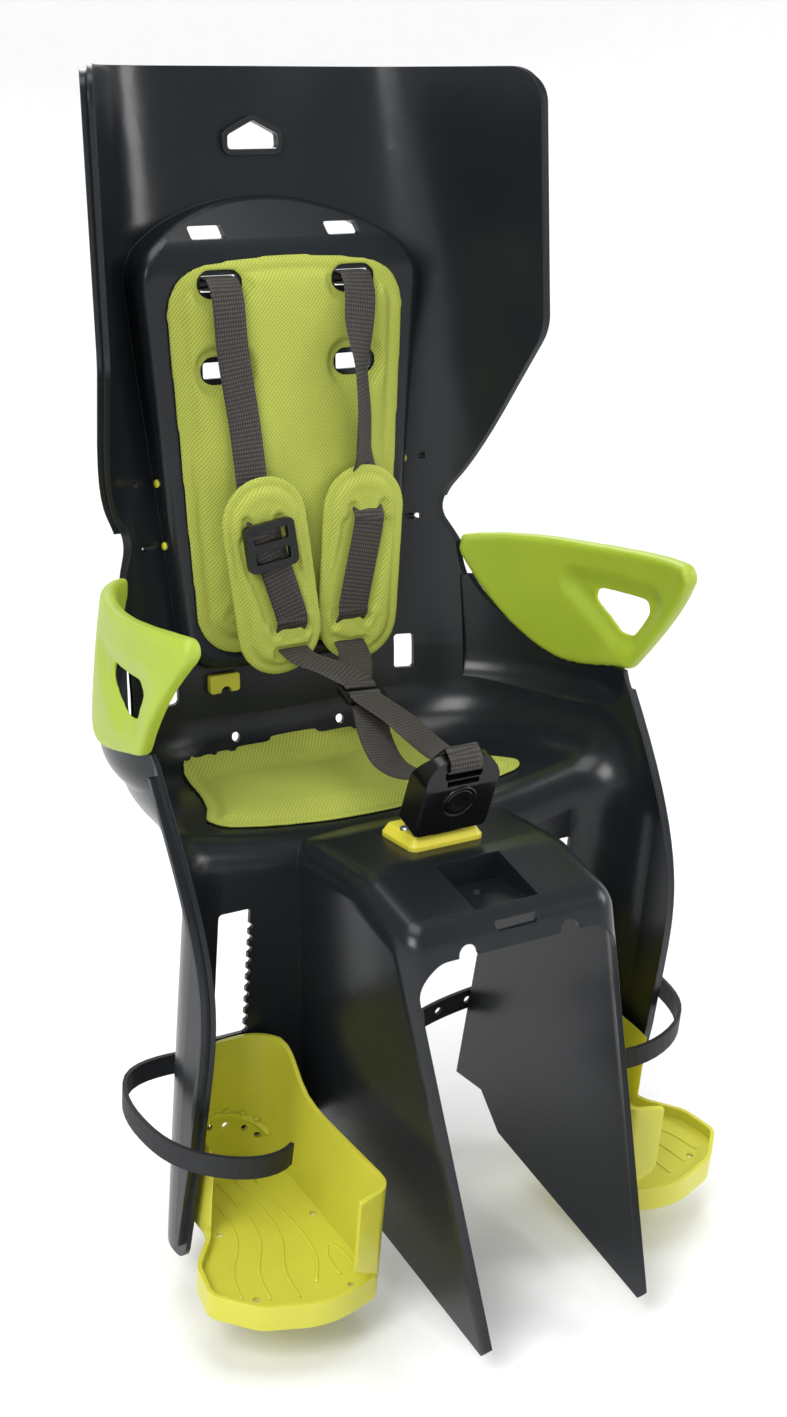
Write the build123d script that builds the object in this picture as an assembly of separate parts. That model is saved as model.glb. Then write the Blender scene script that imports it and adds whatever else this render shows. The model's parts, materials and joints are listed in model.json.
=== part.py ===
"""Rear child seat for a bicycle, in millimetres.

X is across the seat, the child faces -Y, Z is up. The origin is the bolt hole in the bridge pocket's floor.
"""
from build123d import *
import math
import os

upright = (Align.CENTER, Align.CENTER, Align.MIN)

# Shell: wall, rim and overall outline
wall_t = 3.5
rim_t = 4.0
rim_out = 5.0
rim_back = 3.0
shell_top = 525.0
front_limit = -260.0
low_limit = -330.0

# Shell in plan: back depth, wing line and flange, measured on the child's side
top_back = 319.0
top_level = 560.0
waist_level = 215.0
waist_back = 277.0
wing_recline = 14.0
wing_root = (137.0, 252.0)
wing_lip = (168.0, 183.0)
back_half_flat = 108.0
back_corner_drop = 9.0
hip_level = 95.0
hip_half_flat = 102.0
hip_back = 268.0
hip_root = (138.0, 238.0)
hip_side = (174.0, 176.0)
flange_x = 186.0
flange_spread = 3.0

# Pan, front nose and calf panels
pan_z = 15.0
pan_bow_r = 620.0
calf_y = 90.0
calf_lean = 0.148
nose_r = 24.0
bowl_r = 42.0

# Side outline of wings and flanges, as (y, z)
wing_corner = (190.0, 525.0)
wing_corner_r = 26.0
wing_knee = (180.0, 340.0)
wing_knee_r = 40.0
waist_notch = (262.0, 205.0)
waist_notch_r = 28.0
pod_rear = (246.0, 176.0)
pod_front = (93.0, 102.0)
flange_front = (26.0, -47.0)
flange_low = (46.0, -165.0)
flange_foot = (72.0, -258.0)
flange_foot_r = 16.0
calf_bottom_outer = -258.0
calf_bottom_inner = -214.0

# Hump that carries the back pad
hump_front_low = (251.0, 100.0)
hump_front_high = (258.0, 398.0)
hump_top_z = 436.0
hump_half_low = 88.0
hump_half_high = 116.0
hump_low_z = 98.0
hump_shoulder_z = 392.0
hump_edge_r = 9.0
hump_bend_r = 40.0
hump_corner_r = 34.0

# Armrest pods and handles
pod_centre = (52.0, 135.0)
pod_r = 141.0
pod_floor_z = 62.0
pod_edge_r = 26.0
pod_from_x = 140.0
pod_dip = 2.0
handle_levels = (75.0, 150.0, 215.0)
handle_bow = ((-10.0, 172.0, 186.0, 179.0), (60.0, 180.5, 205.0, 193.0), (130.0, 198.5, 203.0, 192.0),
              (190.0, 192.0, 186.0, 175.0), (250.0, 149.0, 143.0, 132.0))
handle_t = 12.5
handle_grip = 6.0
handle_top = (130.0, 189.0)
handle_tip = (12.0, 194.0)
handle_tip_r = 9.0
handle_front_r = 8.0
handle_rear = ((243.0, 182.0), (245.0, 170.0))
handle_rear_r = 5.0
handle_hole = ((153.0, 155.0), (72.0, 156.0), (95.0, 126.0), (110.0, 126.0))
handle_hole_r = 7.0
handle_edge_r = 3.5
along_thickness = 0.97

# Bridge and spoke guards
deck_z = 21.0
deck_bend_y = 18.0
deck_rear_y = 90.0
deck_dip = 13.0
deck_nose = (-44.5, 2.0)
deck_nose_r = 24.0
deck_bend_r = 60.0
guard_foot = (-122.0, -250.0)
bridge_half = 85.3
bridge_taper = 0.076
bridge_shoulder_r = 18.0
guard_lip = 2.0
arch_z = -18.0
arch_corner_r = 22.0
guard_rear = (92.0, -206.0)
guard_step = (66.0, -229.0)
guard_tip = (-108.0, -270.0)

# Bridge pocket, bolt hole, belt slot and rod notches
pocket_half = 25.0
pocket_y = (-34.0, 14.0)
bolt_r = 4.25
bridge_slot = (32.0, 6.0)
bridge_slot_z = -4.5
notch_x = 39.5
notch_r = 7.5

# Openings in the back and pan
belt_slot = (29.0, 11.5)
slot_r = 2.0
belt_slot_x = 53.7
belt_slot_z = (379.0, 319.0)
hump_slot = (27.0, 9.0)
hump_slot_x = 54.5
hump_slot_z = 413.0
handhold_z = 468.0
handhold = (41.0, 20.0)
handhold_eave = 10.0
handhold_r = 3.0
handhold_rim = (4.0, 4.0)
hip_slot = (15.0, 27.0)
hip_slot_r = 3.0
hip_slot_x = 100.0
hip_slot_z = 90.0
drain_r = 3.5
drain_x = 45.0
drain_z = 42.0
handhold_rim_y = 305.0
calf_slot_x = 133.0
calf_slot_w = 24.0
calf_slot_r = 3.0
calf_slot_z = (-20.0, -205.0)
calf_tooth = 9.0
calf_tooth_d = 2.5

# Gaps: soft pieces to what they lie on, sliding pieces, and pins in their holes
soft_gap = 0.3
slide_gap = 0.4
pin_gap = 0.1

# Back pad on the hump and seat pad on the pan
pad_t = 7.0
pad_round = 2.5
back_pad_z = (112.0, 398.0)
back_pad_half = (79.0, 97.0)
back_pad_shoulder_z = 386.0
back_pad_r = 34.0
pad_hole = (34.0, 19.0)
seat_pad_back = (100.0, 246.0)
seat_pad_front = (140.0, 129.0)
seat_pad_waist = (112.0, 180.0)
seat_pad_bulge = 12.0
seat_pad_r = 14.0

# Pegs at the sides of the hump and the clip on the back wall
peg_r = 2.4
peg_y = 265.0
peg_z = (241.0, 195.0)
peg_head = (3.0, 2.2)
peg_length = 9.0
peg_seat = 0.5
clip_at = (-54.0, 86.0)
clip_size = (25.0, 14.0, 5.0)
clip_notch_r = 4.5
clip_r = 2.5

# Harness webbing, shoulder pads, adjuster, slider and anchor bars
web_w = 25.0
web_t = 1.5
strap_pad = (68.0, 148.0, 9.0)
strap_pad_r = 33.0
strap_pad_left = (48.0, 237.0, 171.0)
strap_pad_left_lean = -4.0
strap_pad_right = (-31.0, 227.6, 172.0)
strap_pad_right_lean = 7.7
slit_v = 45.0
bar_r = 2.5
bar_length = 44.0
adjuster = (40.0, 35.0, 4.5)
adjuster_at = (-2.0, 26.0)
adjuster_slot = (28.0, 9.0)
adjuster_bar = 6.0
adjuster_r = 5.0
slider = (33.0, 21.0, 3.5)
slider_at = (10.0, 170.0, 93.0)
slider_slope = 23.3
slider_slot = (27.0, 4.5)
slider_bar = 4.0
slider_r = 3.0
ladder_slot_r = 1.5

# Buckle, leaning forward on its tongue
buckle_lean = 23.57
buckle_foot = (43.3, 34.0)
buckle_w = 58.0
buckle_h = 60.0
buckle_n = (-13.0, 8.5)
buckle_top_n = (-5.0, 2.5)
buckle_taper_s = 40.0
buckle_top_r = 18.0
buckle_foot_r = 5.0
buckle_wall = 3.0
buckle_edge = 1.5
web_slot = (29.0, 6.0)
web_slot_s = 50.0
button_r = 10.5
button_s = 28.0
button_proud = 1.0
button_t = 4.3
button_gap = 0.3
button_edge = 1.2
dish_r = 25.0
dish_depth = 1.0
boss_r = 4.0
latch = (18.0, 26.0, 2.8)
latch_tooth = (12.0, 1.5)
latch_hold = 2.3
spring_t = 0.5
spring_w = 9.0

# Buckle base, tongue and screws
base_y = 58.0
base_size = (58.0, 44.0, 9.0)
base_bevel = 6.0
base_screw_x = 21.0
base_screw_r = 2.0
base_screw_head = (4.0, 1.8)
tongue_w = 18.0
tongue_t = 4.0
tongue_y = 49.0
tongue_top_s = 36.0
tongue_top_r = 5.0
tongue_window = (14.0, 12.5)
tongue_gap = 0.5
tongue_slot_gap = 1.5
tongue_foot = (28.0, 24.0, 3.0)

# Footrests: tray, boss in the calf slot, lock plate, strap and stud, along the slide direction
rest_z = -220.0
tray_t = 3.0
tray_inner_x = 96.0
tray_plan = ((96.0, -163.0), (141.0, -175.0), (184.0, -160.0), (209.0, -134.0), (204.0, -104.0),
             (184.0, -80.0), (180.0, -66.0))
tray_plan_r = (12.0, 60.0, 28.0, 14.0, 24.0, 30.0, 20.0)
tray_outer_x = 180.0
tray_rear_inner_r = 30.0
tray_rear_gap = 2.0
tray_heel_h = 102.0
tray_heel_outer_h = 62.0
tray_outer_reach = 90.0
tray_wall_dip = (-50.0, 72.0)
tray_wall_front = (-150.0, 79.0)
tray_wall_tip = (-185.0, 76.0)
tray_wall_end = (-163.0, 8.0)
tray_wall_r = 18.0
tray_lip_h = 8.0
tray_skirt_h = 11.0
tray_hole_r = 2.5
tray_holes = ((179.0, -143.0), (116.0, -157.0), (172.0, -75.0), (104.0, -82.0))
heel_holes = ((147.0, 33.0), (134.0, 30.0), (119.0, 24.0), (110.0, 18.0))
boss_w = (56.0, 94.0)
lock_x = (94.0, 162.0)
lock_w = (48.0, 100.0)
lock_t = 3.0
lock_r = 5.0
stud_x = 101.0
stud_size = (11.0, 54.0, 4.0)
stud_bar_r = 3.0
stud_r = 2.6
stud_head = (4.2, 2.0)
foot_strap_w = 16.0
foot_strap_t = 3.0
keyhole_r = 3.0
keyhole_pitch = 26.0
foot_strap_rise = 0.11


def corner(sketch, point):
    """The sketch vertex nearest to a point of its own plane."""
    return sketch.vertices().sort_by_distance(Vector(*point, 0))[0]


def both_sides(shape):
    """A shape of the left-hand side together with its mirror image."""
    return [shape, shape.mirror(Plane.YZ)]


def grown(points, grow):
    """Points of a curve moved outward by grow along its normals."""
    moved = []
    for i, (x, y) in enumerate(points):
        xa, ya = points[max(i - 1, 0)]
        xb, yb = points[min(i + 1, len(points) - 1)]
        length = math.hypot(xb - xa, yb - ya)
        moved.append((x - (yb - ya) / length * grow, y + (xb - xa) / length * grow))
    return moved


def plan_wire(level, half, grow):
    """Plan of the cavity at one height: a spline round the back, closed across the front."""
    beyond = (-half[1][0], half[1][1])
    side = grown([beyond] + half, grow)[1:]
    back = (0.0, side[0][1])
    points = [(-x, y) for x, y in reversed(side[1:])] + [back] + side[1:]
    points = [Vector(x, y, level) for x, y in points]
    return Wire([Spline(*points).edge(), Line(points[-1], points[0]).edge()])


def wing_plan(back, recline):
    """Half plan at wing height: flat back, round corner, then a straight flaring wing."""
    flare = (wing_lip[0] - wing_root[0]) / (wing_root[1] - wing_lip[1])
    tip_x = wing_lip[0] + flare * (wing_lip[1] + recline - front_limit)
    middle = ((wing_lip[0] + tip_x) / 2, (wing_lip[1] + recline + front_limit) / 2)
    corner = (back_half_flat, back - back_corner_drop)
    root = (wing_root[0], wing_root[1] + recline)
    lip = (wing_lip[0], wing_lip[1] + recline)
    return [(0.0, back), corner, root, lip, middle, (tip_x, front_limit)]


def hip_plan():
    """Half plan below the waist: round hip, then the flange running straight forward."""
    corner = (hip_half_flat, hip_back - back_corner_drop)
    return [(0.0, hip_back), corner, hip_root, hip_side, (flange_x, calf_y - 12),
            (flange_x + flange_spread, front_limit)]


def cavity(grow):
    """Everything inside the side and back walls, from below the legs to above the wings."""
    wires = [
        plan_wire(top_level, wing_plan(top_back, wing_recline), grow),
        plan_wire(waist_level, wing_plan(waist_back, 0.0), grow),
        plan_wire(hip_level, hip_plan(), grow),
        plan_wire(low_limit, hip_plan(), grow),
    ]
    return Solid.make_loft(wires, True)


def calf_at(level, grow=0.0):
    """Depth of the calf panel's front face at a height."""
    return calf_y + grow - calf_lean * (level - pan_z)


def seat_room(grow):
    """Room above the bowed pan and in front of the calf plane, with the rounded front edge between them."""
    wide = 1.6 * flange_x
    rise = wide**2 / (2 * pan_bow_r)
    floor = pan_z - grow
    crown = 150.0
    with BuildPart() as room:
        with BuildSketch(Plane.XZ.offset(-400)):
            with BuildLine():
                ThreePointArc((-wide, floor + rise), (0, floor), (wide, floor + rise))
                Polyline((wide, floor + rise), (wide, top_level), (-wide, top_level), (-wide, floor + rise))
            make_face()
        extrude(amount=400 - front_limit)
        with BuildSketch(Plane.YZ.offset(-wide)):
            with BuildLine():
                Polyline((calf_at(crown, grow), crown), (calf_at(low_limit, grow), low_limit),
                         (front_limit, low_limit), (front_limit, crown), close=True)
            make_face()
        extrude(amount=2 * wide)
        near = Vector(0, calf_at(floor, grow), floor)
        nose = room.edges().sort_by_distance(near)[0]
        fillet(nose, nose_r - grow)
    return room.part


def bucket(grow):
    """Seat room within the side walls, its bottom edges rounded into a bowl."""
    body = cavity(grow) & seat_room(grow)
    bowl = []
    for edge in body.edges():
        middle = edge @ 0.5
        low = low_limit + 5 < middle.Z < hip_level - 5
        on_wall = abs(middle.X) > 0.8 * flange_x or middle.Y > 0.8 * hip_back
        if low and on_wall and middle.Y > front_limit + 5:
            bowl.append(edge)
    return fillet(bowl, bowl_r + grow)


def pod(grow):
    """Round cup of one armrest, bulging out of the left side wall."""
    top = handle_levels[1]
    low = pod_floor_z - grow
    cup = Cylinder(pod_r + grow, top - low, align=upright)
    cup = fillet(cup.edges().sort_by(Axis.Z)[0], pod_edge_r + grow)
    reach = Box(400, 800, 800, align=(Align.MIN, Align.CENTER, Align.CENTER))
    return (Pos(*pod_centre, low) * cup) & (Pos(pod_from_x, 0, 0) * reach)


def hump(grow):
    """Raised block in the back that carries the pad, with a sloping top and rounded front edges."""
    with BuildPart() as block:
        with BuildSketch(Plane.XZ.offset(-400)):
            with BuildLine():
                top = hump_top_z - grow
                low = hump_half_low - grow
                high = hump_half_high - grow
                Polyline((-high, hump_shoulder_z), (-low, hump_low_z + grow), (low, hump_low_z + grow),
                         (high, hump_shoulder_z))
                ThreePointArc((high, hump_shoulder_z), (0, top), (-high, hump_shoulder_z))
            make_face()
            fillet(vertices(), hump_corner_r - grow)
        extrude(amount=200)
        with BuildSketch(Plane.YZ.offset(-200)) as side:
            with BuildLine():
                bend = (hump_front_high[0] + grow, hump_front_high[1] - grow)
                crest = (bend[0] + hump_top_z - hump_front_high[1], hump_top_z - grow)
                Polyline((hump_front_low[0] + grow, hump_low_z - 30), bend, crest,
                         (400, crest[1] + 60), (400, hump_low_z - 30), close=True)
            make_face()
            fillet(corner(side, bend), hump_bend_r)
        extrude(amount=400, mode=Mode.INTERSECT)
        face_edges = []
        for edge in block.edges():
            ahead = max((edge @ t).Y for t in (0.0, 0.5, 1.0)) < crest[0] - 1
            across = abs((edge @ 0.0).X + (edge @ 1.0).X) < 1 and (edge @ 0.5).Z > hump_shoulder_z - 60
            if ahead and not across:
                face_edges.append(edge)
        fillet(face_edges, hump_edge_r - grow)
    return block.part


def bridge(grow):
    """Block over the wheel: deck, rounded nose and the slanting spoke guards, with rounded shoulders."""
    rear = 150.0
    with BuildPart() as block:
        with BuildSketch(Plane.YZ.offset(-200)) as side:
            with BuildLine():
                steep = (deck_nose[0] - guard_foot[0]) / (deck_nose[1] - guard_foot[1])
                foot_y = guard_foot[0] + steep * (low_limit - guard_foot[1])
                Polyline((rear, deck_z - deck_dip), (deck_rear_y, deck_z), (deck_bend_y, deck_z), deck_nose,
                         (foot_y, low_limit), (rear, low_limit), close=True)
            make_face()
            fillet(corner(side, deck_nose), deck_nose_r)
            fillet(corner(side, (deck_bend_y, deck_z)), deck_bend_r)
            fillet(corner(side, (deck_rear_y, deck_z)), deck_bend_r)
            offset(amount=-grow, kind=Kind.INTERSECTION)
        extrude(amount=400)
        with BuildSketch(Plane.XZ.offset(-400)):
            with BuildLine():
                low = bridge_half + bridge_taper * low_limit - grow
                high = bridge_half + bridge_taper * 100 - grow
                Polyline((-high, 100), (-low, low_limit), (low, low_limit), (high, 100), close=True)
            make_face()
        extrude(amount=800, mode=Mode.INTERSECT)
        shoulders = []
        for edge in block.edges():
            middle = edge @ 0.5
            if abs(middle.X) > 20 and middle.Y < rear - 10 and middle.Z > low_limit + 5:
                shoulders.append(edge)
        fillet(shoulders, bridge_shoulder_r - grow)
    return block.part


def seat_space(grow):
    """All the air on the child's side of a wall that stands grow outside the moulded face."""
    space = bucket(grow) + both_sides(pod(grow))
    return space - bridge(grow) - hump(grow)


def side_cut():
    """Side view of what lies above the rim and in front of the wing, pod and flange lips."""
    behind = top_back + 100
    ahead = front_limit - 20
    above = shell_top + 80
    below = low_limit - 20
    with BuildSketch(Plane.YZ) as sketch:
        with BuildLine():
            pod_low = (pod_front[0] + 90, pod_front[1] - pod_dip)
            Polyline((behind, above), (behind, shell_top), wing_corner, wing_knee, waist_notch, pod_rear)
            Spline(pod_rear, pod_low, pod_front, tangents=[(-0.1, -1, 0), (-1, 0.05, 0)])
            Spline(pod_front, flange_front, flange_low, tangents=[(-0.53, -0.85, 0), (0.2, -0.98, 0)])
            Polyline(flange_low, flange_foot, (behind, calf_bottom_outer), (behind, below), (ahead, below),
                     (ahead, above), (behind, above))
        make_face()
        corners = [(wing_corner, wing_corner_r), (wing_knee, wing_knee_r), (waist_notch, waist_notch_r),
                   (flange_foot, flange_foot_r)]
        for point, radius in corners:
            fillet(corner(sketch, point), radius)
    return sketch.sketch


def peg_x(level):
    """Half width of the hump at a height."""
    share = (level - hump_low_z) / (hump_shoulder_z - hump_low_z)
    return hump_half_low + share * (hump_half_high - hump_half_low)


def slab(y_from, y_to, sketch):
    """Prism along Y of a sketch drawn in the XZ plane (x to the right, z up), between two depths."""
    return Pos(0, y_to, 0) * extrude(Plane.XZ * sketch, y_to - y_from, dir=(0, -1, 0))


def guard_cut():
    """Side view of what lies below the spoke guards."""
    heel = (300.0, guard_rear[1])
    toe = (guard_tip[0] - 9, guard_tip[1] + 9)
    below = low_limit - 50
    return Polygon(heel, guard_rear, guard_step, guard_tip, toe, (front_limit, toe[1]), (front_limit, below),
                   (heel[0], below), align=None)


def arch_sketch():
    """Front view of the opening between the spoke guards."""
    high = bridge_half + bridge_taper * arch_z - wall_t - guard_lip
    low = bridge_half + bridge_taper * low_limit - wall_t - guard_lip
    foot = low_limit - 40
    shape = Polygon((-high, arch_z), (-low, foot), (low, foot), (high, arch_z), align=None)
    tops = [v for v in shape.vertices() if v.Y > arch_z - 1]
    return fillet(tops, arch_corner_r)


def handhold_sketch(grow):
    """House-shaped hand hole in the headrest."""
    half = handhold[0] / 2
    low = handhold_z
    eave = low + handhold_eave
    ridge = low + handhold[1]
    shape = Polygon((-half, low), (half, low), (half, eave), (0, ridge), (-half, eave), align=None)
    return offset(fillet(shape.vertices(), handhold_r), grow)


def rounded_slot(x, z, size, radius):
    return Pos(x, z) * RectangleRounded(size[0], size[1], radius)


def calf_slot_sketch():
    """Front view of a calf slot with its row of adjusting teeth on the inner edge."""
    height = calf_slot_z[0] - calf_slot_z[1]
    middle = (calf_slot_z[0] + calf_slot_z[1]) / 2
    shape = rounded_slot(calf_slot_x, middle, (calf_slot_w, height), calf_slot_r)
    count = int(height / calf_tooth) - 1
    for i in range(count):
        level = calf_slot_z[1] + calf_tooth * (i + 1)
        shape += Pos(calf_slot_x - calf_slot_w / 2, level) * Circle(calf_tooth_d)
    return shape


def shell_rim():
    """Rolled edge that stands outward, a little behind the wing and flange lips."""
    lip = side_cut()
    above_waist = Plane.YZ * Pos(0, waist_level - 6 + 350) * Rectangle(1400, 700)
    wing = lip & above_waist
    rim_far = rim_back + rim_t
    wing_strip = offset(wing, rim_far, kind=Kind.INTERSECTION)
    wing_strip -= offset(wing, rim_back, kind=Kind.INTERSECTION)
    head = Pos(0, 150, waist_level + 344) * Box(900, 900, 700)
    wing_band = extrude(wing_strip, 2 * flange_x, both=True) & head
    leg_strip = Pos(0, rim_far, 0) * lip - Pos(0, rim_back, 0) * lip
    leg_top = pod_front[1] - 14
    leg_low = calf_bottom_outer + 14
    leg = Pos(flange_x, 0, (leg_top + leg_low) / 2) * Box(140, 400, leg_top - leg_low)
    leg_band = extrude(leg_strip, 2 * flange_x, both=True) & (leg + leg.mirror(Plane.YZ))
    skin = cavity(wall_t + rim_out) - cavity(wall_t / 2)
    return (wing_band + leg_band) & skin


def shell_openings():
    """Belt slots, vents, hand hole, calf slots and drain holes cut through the moulding."""
    hump_y = hump_front_high[0]
    cuts = [slab(hump_y + 30, 400, handhold_sketch(0))]
    for side in (-1, 1):
        for level in belt_slot_z:
            mouth = rounded_slot(side * belt_slot_x, level, belt_slot, slot_r)
            cuts.append(slab(hump_y - 25, hump_y + 14, mouth))
        vent = rounded_slot(side * hump_slot_x, hump_slot_z, hump_slot, slot_r)
        cuts.append(slab(hump_y + 2, hump_y + 32, vent))
        hip = rounded_slot(side * hip_slot_x, hip_slot_z, hip_slot, hip_slot_r)
        cuts.append(slab(hip_back - 60, hip_back + 20, hip))
        cuts.append(slab(hip_back - 40, hip_back + 20, Pos(side * drain_x, drain_z) * Circle(drain_r)))
        for level in peg_z:
            peg_hole = Rot(0, 90, 0) * Cylinder(peg_r + pin_gap, 40)
            cuts.append(Pos(side * peg_x(level), peg_y, level) * peg_hole)
    slot = slab(calf_y - 30, calf_y + 60, calf_slot_sketch())
    return cuts + both_sides(slot)


def bridge_pocket():
    """Walls of the square pocket sunk into the bridge, before its inside is cut."""
    length = pocket_y[1] - pocket_y[0] + 2 * wall_t
    box = block(2 * (pocket_half + wall_t), length, 60)
    return (Pos(0, pocket_y[0] - wall_t, -wall_t) * box) & bridge(0.0)


def bridge_openings():
    """Inside of the pocket, bolt hole, belt slot, rod notches, arch and the tongue's slot."""
    length = pocket_y[1] - pocket_y[0]
    inside = Pos(0, pocket_y[0], 0) * block(2 * pocket_half, length, 60)
    cuts = [inside, Cylinder(bolt_r, 40), slab(front_limit, 60, arch_sketch())]
    cuts.append(slab(-80, pocket_y[0] - wall_t - 1, rounded_slot(0, bridge_slot_z, bridge_slot, slot_r)))
    for side in (-1, 1):
        cuts.append(slab(-90, -20, Pos(side * notch_x, arch_z) * Circle(notch_r)))
        cuts.append(Pos(side * base_screw_x, base_y, deck_z) * Cylinder(base_screw_r + soft_gap, 30))
    tongue_hole = Box(tongue_w + 2 * tongue_slot_gap, tongue_t + 6 * tongue_slot_gap, 30)
    return cuts + [Pos(0, tongue_y, deck_z) * tongue_hole]


def seat_shell(space):
    """The one-piece moulding round the child's space."""
    rim_w, rim_depth = handhold_rim
    hand_rim = slab(handhold_rim_y, handhold_rim_y + rim_depth, handhold_sketch(rim_w))
    body = seat_space(wall_t) - space + hand_rim
    lip = side_cut()
    side = Pos(100, 0, 0) * extrude(lip, 400)
    high = extrude(lip, 400, both=True) & (Pos(0, 0, hump_top_z + 350) * Box(900, 900, 700))
    foot = low_limit - 50
    calf_heel = Polygon((60, calf_bottom_inner + 9), (flange_x, calf_bottom_outer), (flange_x, foot),
                        (60, foot), align=None)
    body = body - both_sides(side) - high
    body = body - extrude(Plane.YZ * guard_cut(), 100, both=True)
    body = body - both_sides(slab(95, 200, calf_heel))
    body = body + shell_rim() + bridge_pocket()
    return body - shell_openings() - bridge_openings()


def handle(shell):
    """Left armrest cap: a bowed, leaf-shaped ring with a finger hole, pushed over the edge of the pod."""
    strips = []
    for y, low, middle, high in handle_bow:
        outer = [Vector(x, y, z) for x, z in zip((low, middle, high), handle_levels)]
        inner = [point - Vector(handle_t, 0, 0) for point in outer]
        edges = [ThreePointArc(*outer), Line(outer[2], inner[2]), ThreePointArc(*reversed(inner)),
                 Line(inner[0], outer[0])]
        strips.append(Wire([edge.edge() for edge in edges]))
    band = Solid.make_loft(strips)
    with BuildSketch(Plane.YZ) as leaf:
        with BuildLine():
            pod_low = (pod_front[0] + 90, pod_front[1] - pod_dip - handle_grip)
            rear_top, rear_low = handle_rear
            Spline(rear_top, handle_top, handle_tip, tangents=[(-1, 0.2, 0), (-1, -0.02, 0)])
            Line(handle_tip, pod_front)
            Spline(pod_front, pod_low, rear_low, tangents=[(1, -0.15, 0), (0.3, 1, 0)])
            Line(rear_low, rear_top)
        make_face()
        fillet(corner(leaf, handle_tip), handle_tip_r)
        fillet(corner(leaf, pod_front), handle_front_r)
        for point in handle_rear:
            fillet(corner(leaf, point), handle_rear_r)
    hole = fillet(Polygon(*handle_hole, align=None).vertices(), handle_hole_r)
    cap = band & extrude(leaf.sketch, 400)
    cap = cap - extrude(Plane.YZ * hole, 400)
    rims = [edge for edge in cap.edges() if abs((edge % 0.5).X) < along_thickness]
    return fillet(rims, handle_edge_r) - shell


def hump_plane():
    """Front of the hump: x across, y up the slope, z towards the child."""
    rise = Vector(0, hump_front_high[0] - hump_front_low[0], hump_front_high[1] - hump_front_low[1])
    front = Vector(1, 0, 0).cross(rise).normalized()
    return Plane(origin=(0, *hump_front_low), x_dir=(1, 0, 0), z_dir=front)


def back_pad():
    """Flat pad with an arched top and four holes for the belts, laid on the front of the hump."""
    base = hump_front_low[1]
    low, high = (z - base for z in back_pad_z)
    shoulder = back_pad_shoulder_z - base
    half_low, half_high = back_pad_half
    with BuildPart() as pad:
        with BuildSketch() as outline:
            with BuildLine():
                Polyline((-half_high, shoulder), (-half_low, low), (half_low, low), (half_high, shoulder))
                ThreePointArc((half_high, shoulder), (0, high), (-half_high, shoulder))
            make_face()
            fillet(outline.vertices(), back_pad_r)
        extrude(amount=pad_t)
        fillet(pad.faces().sort_by(Axis.Z)[-1].edges(), pad_round)
        for level in belt_slot_z:
            with BuildSketch():
                with Locations((-belt_slot_x, level - base), (belt_slot_x, level - base)):
                    RectangleRounded(*pad_hole, pad_hole[1] / 2 - 1)
            extrude(amount=pad_t, mode=Mode.SUBTRACT)
    return hump_plane().offset(soft_gap).location * pad.part


def seat_pad():
    """Pad laid on the pan and up the bowl, with a rounded back, drawn-in sides and a straight front."""
    with BuildSketch() as plan:
        with BuildLine():
            back_x, back_y = seat_pad_back
            front_x, front_y = seat_pad_front
            ThreePointArc((-back_x, back_y), (0, back_y + seat_pad_bulge), (back_x, back_y))
            ThreePointArc((back_x, back_y), seat_pad_waist, (front_x, front_y))
            Line((front_x, front_y), (-front_x, front_y))
            ThreePointArc((-front_x, front_y), (-seat_pad_waist[0], seat_pad_waist[1]), (-back_x, back_y))
        make_face()
        fillet(plan.vertices(), seat_pad_r)
    column = extrude(plan.sketch, hip_level)
    return (bucket(-soft_gap) & column) - bucket(-soft_gap - pad_t)


def pad_pegs():
    """Four pegs through the side walls of the hump, heads outside."""
    head_r, head_t = peg_head
    head = Cylinder(head_r, head_t, align=upright)
    head = fillet(head.edges().sort_by(Axis.Z)[-1], head_t * 0.7)
    peg = head + Pos(0, 0, head_t - peg_length) * Cylinder(peg_r, peg_length - head_t, align=upright)
    pegs = []
    for side in (-1, 1):
        for level in peg_z:
            place = Pos(side * (peg_x(level) + peg_seat), peg_y, level) * Rot(0, side * 90, 0)
            pegs.append(place * peg)
    return Compound(pegs)


def pad_clip(space):
    """Small clip on the back wall beside the seat pad, with a notch between two feet."""
    width, height, depth = clip_size
    x, z = clip_at
    shape = fillet(Rectangle(width, height).vertices(), clip_r) - Pos(1, -height / 2) * Circle(clip_notch_r)
    block = slab(hip_back - 40, hip_back + 10, Pos(x, z) * shape)
    wall = space & block
    return wall - Pos(0, -depth, 0) * wall


def ribbon(points, across, width, thick, spans=4):
    """Flat strap along a curve through a few points, its broad side held along the across direction."""
    curve = Spline(*points)
    across = Vector(*across)
    steps = spans * (len(points) - 1)
    wires = []
    for i in range(steps + 1):
        along = curve % (i / steps)
        side = (across - along * across.dot(along)).normalized()
        section = Plane(origin=curve @ (i / steps), x_dir=side, z_dir=along) * Rectangle(width, thick)
        wires.append(section.wire())
    return Solid.make_loft(wires, True)


def strap_pad_plane(centre, lean):
    """Middle of a shoulder pad: x across, y along the pad, z towards the child."""
    turn = math.radians(lean)
    return Plane(origin=centre, x_dir=(math.cos(turn), 0, math.sin(turn)), z_dir=(0, -1, 0))


def slider_plane():
    slope = math.radians(slider_slope)
    return Plane(origin=slider_at, x_dir=(1, 0, 0), z_dir=(0, -math.sin(slope), math.cos(slope)))


def placed(plane, *points):
    return [plane.from_local_coords(Vector(*point)) for point in points]


def anchor_y(level):
    """Depth of an anchor bar's middle, lying on the back of the hump's wall."""
    slope = (hump_front_high[0] - hump_front_low[0]) / (hump_front_high[1] - hump_front_low[1])
    return hump_front_low[0] + slope * (level - hump_front_low[1]) + wall_t + soft_gap + bar_r


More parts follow.
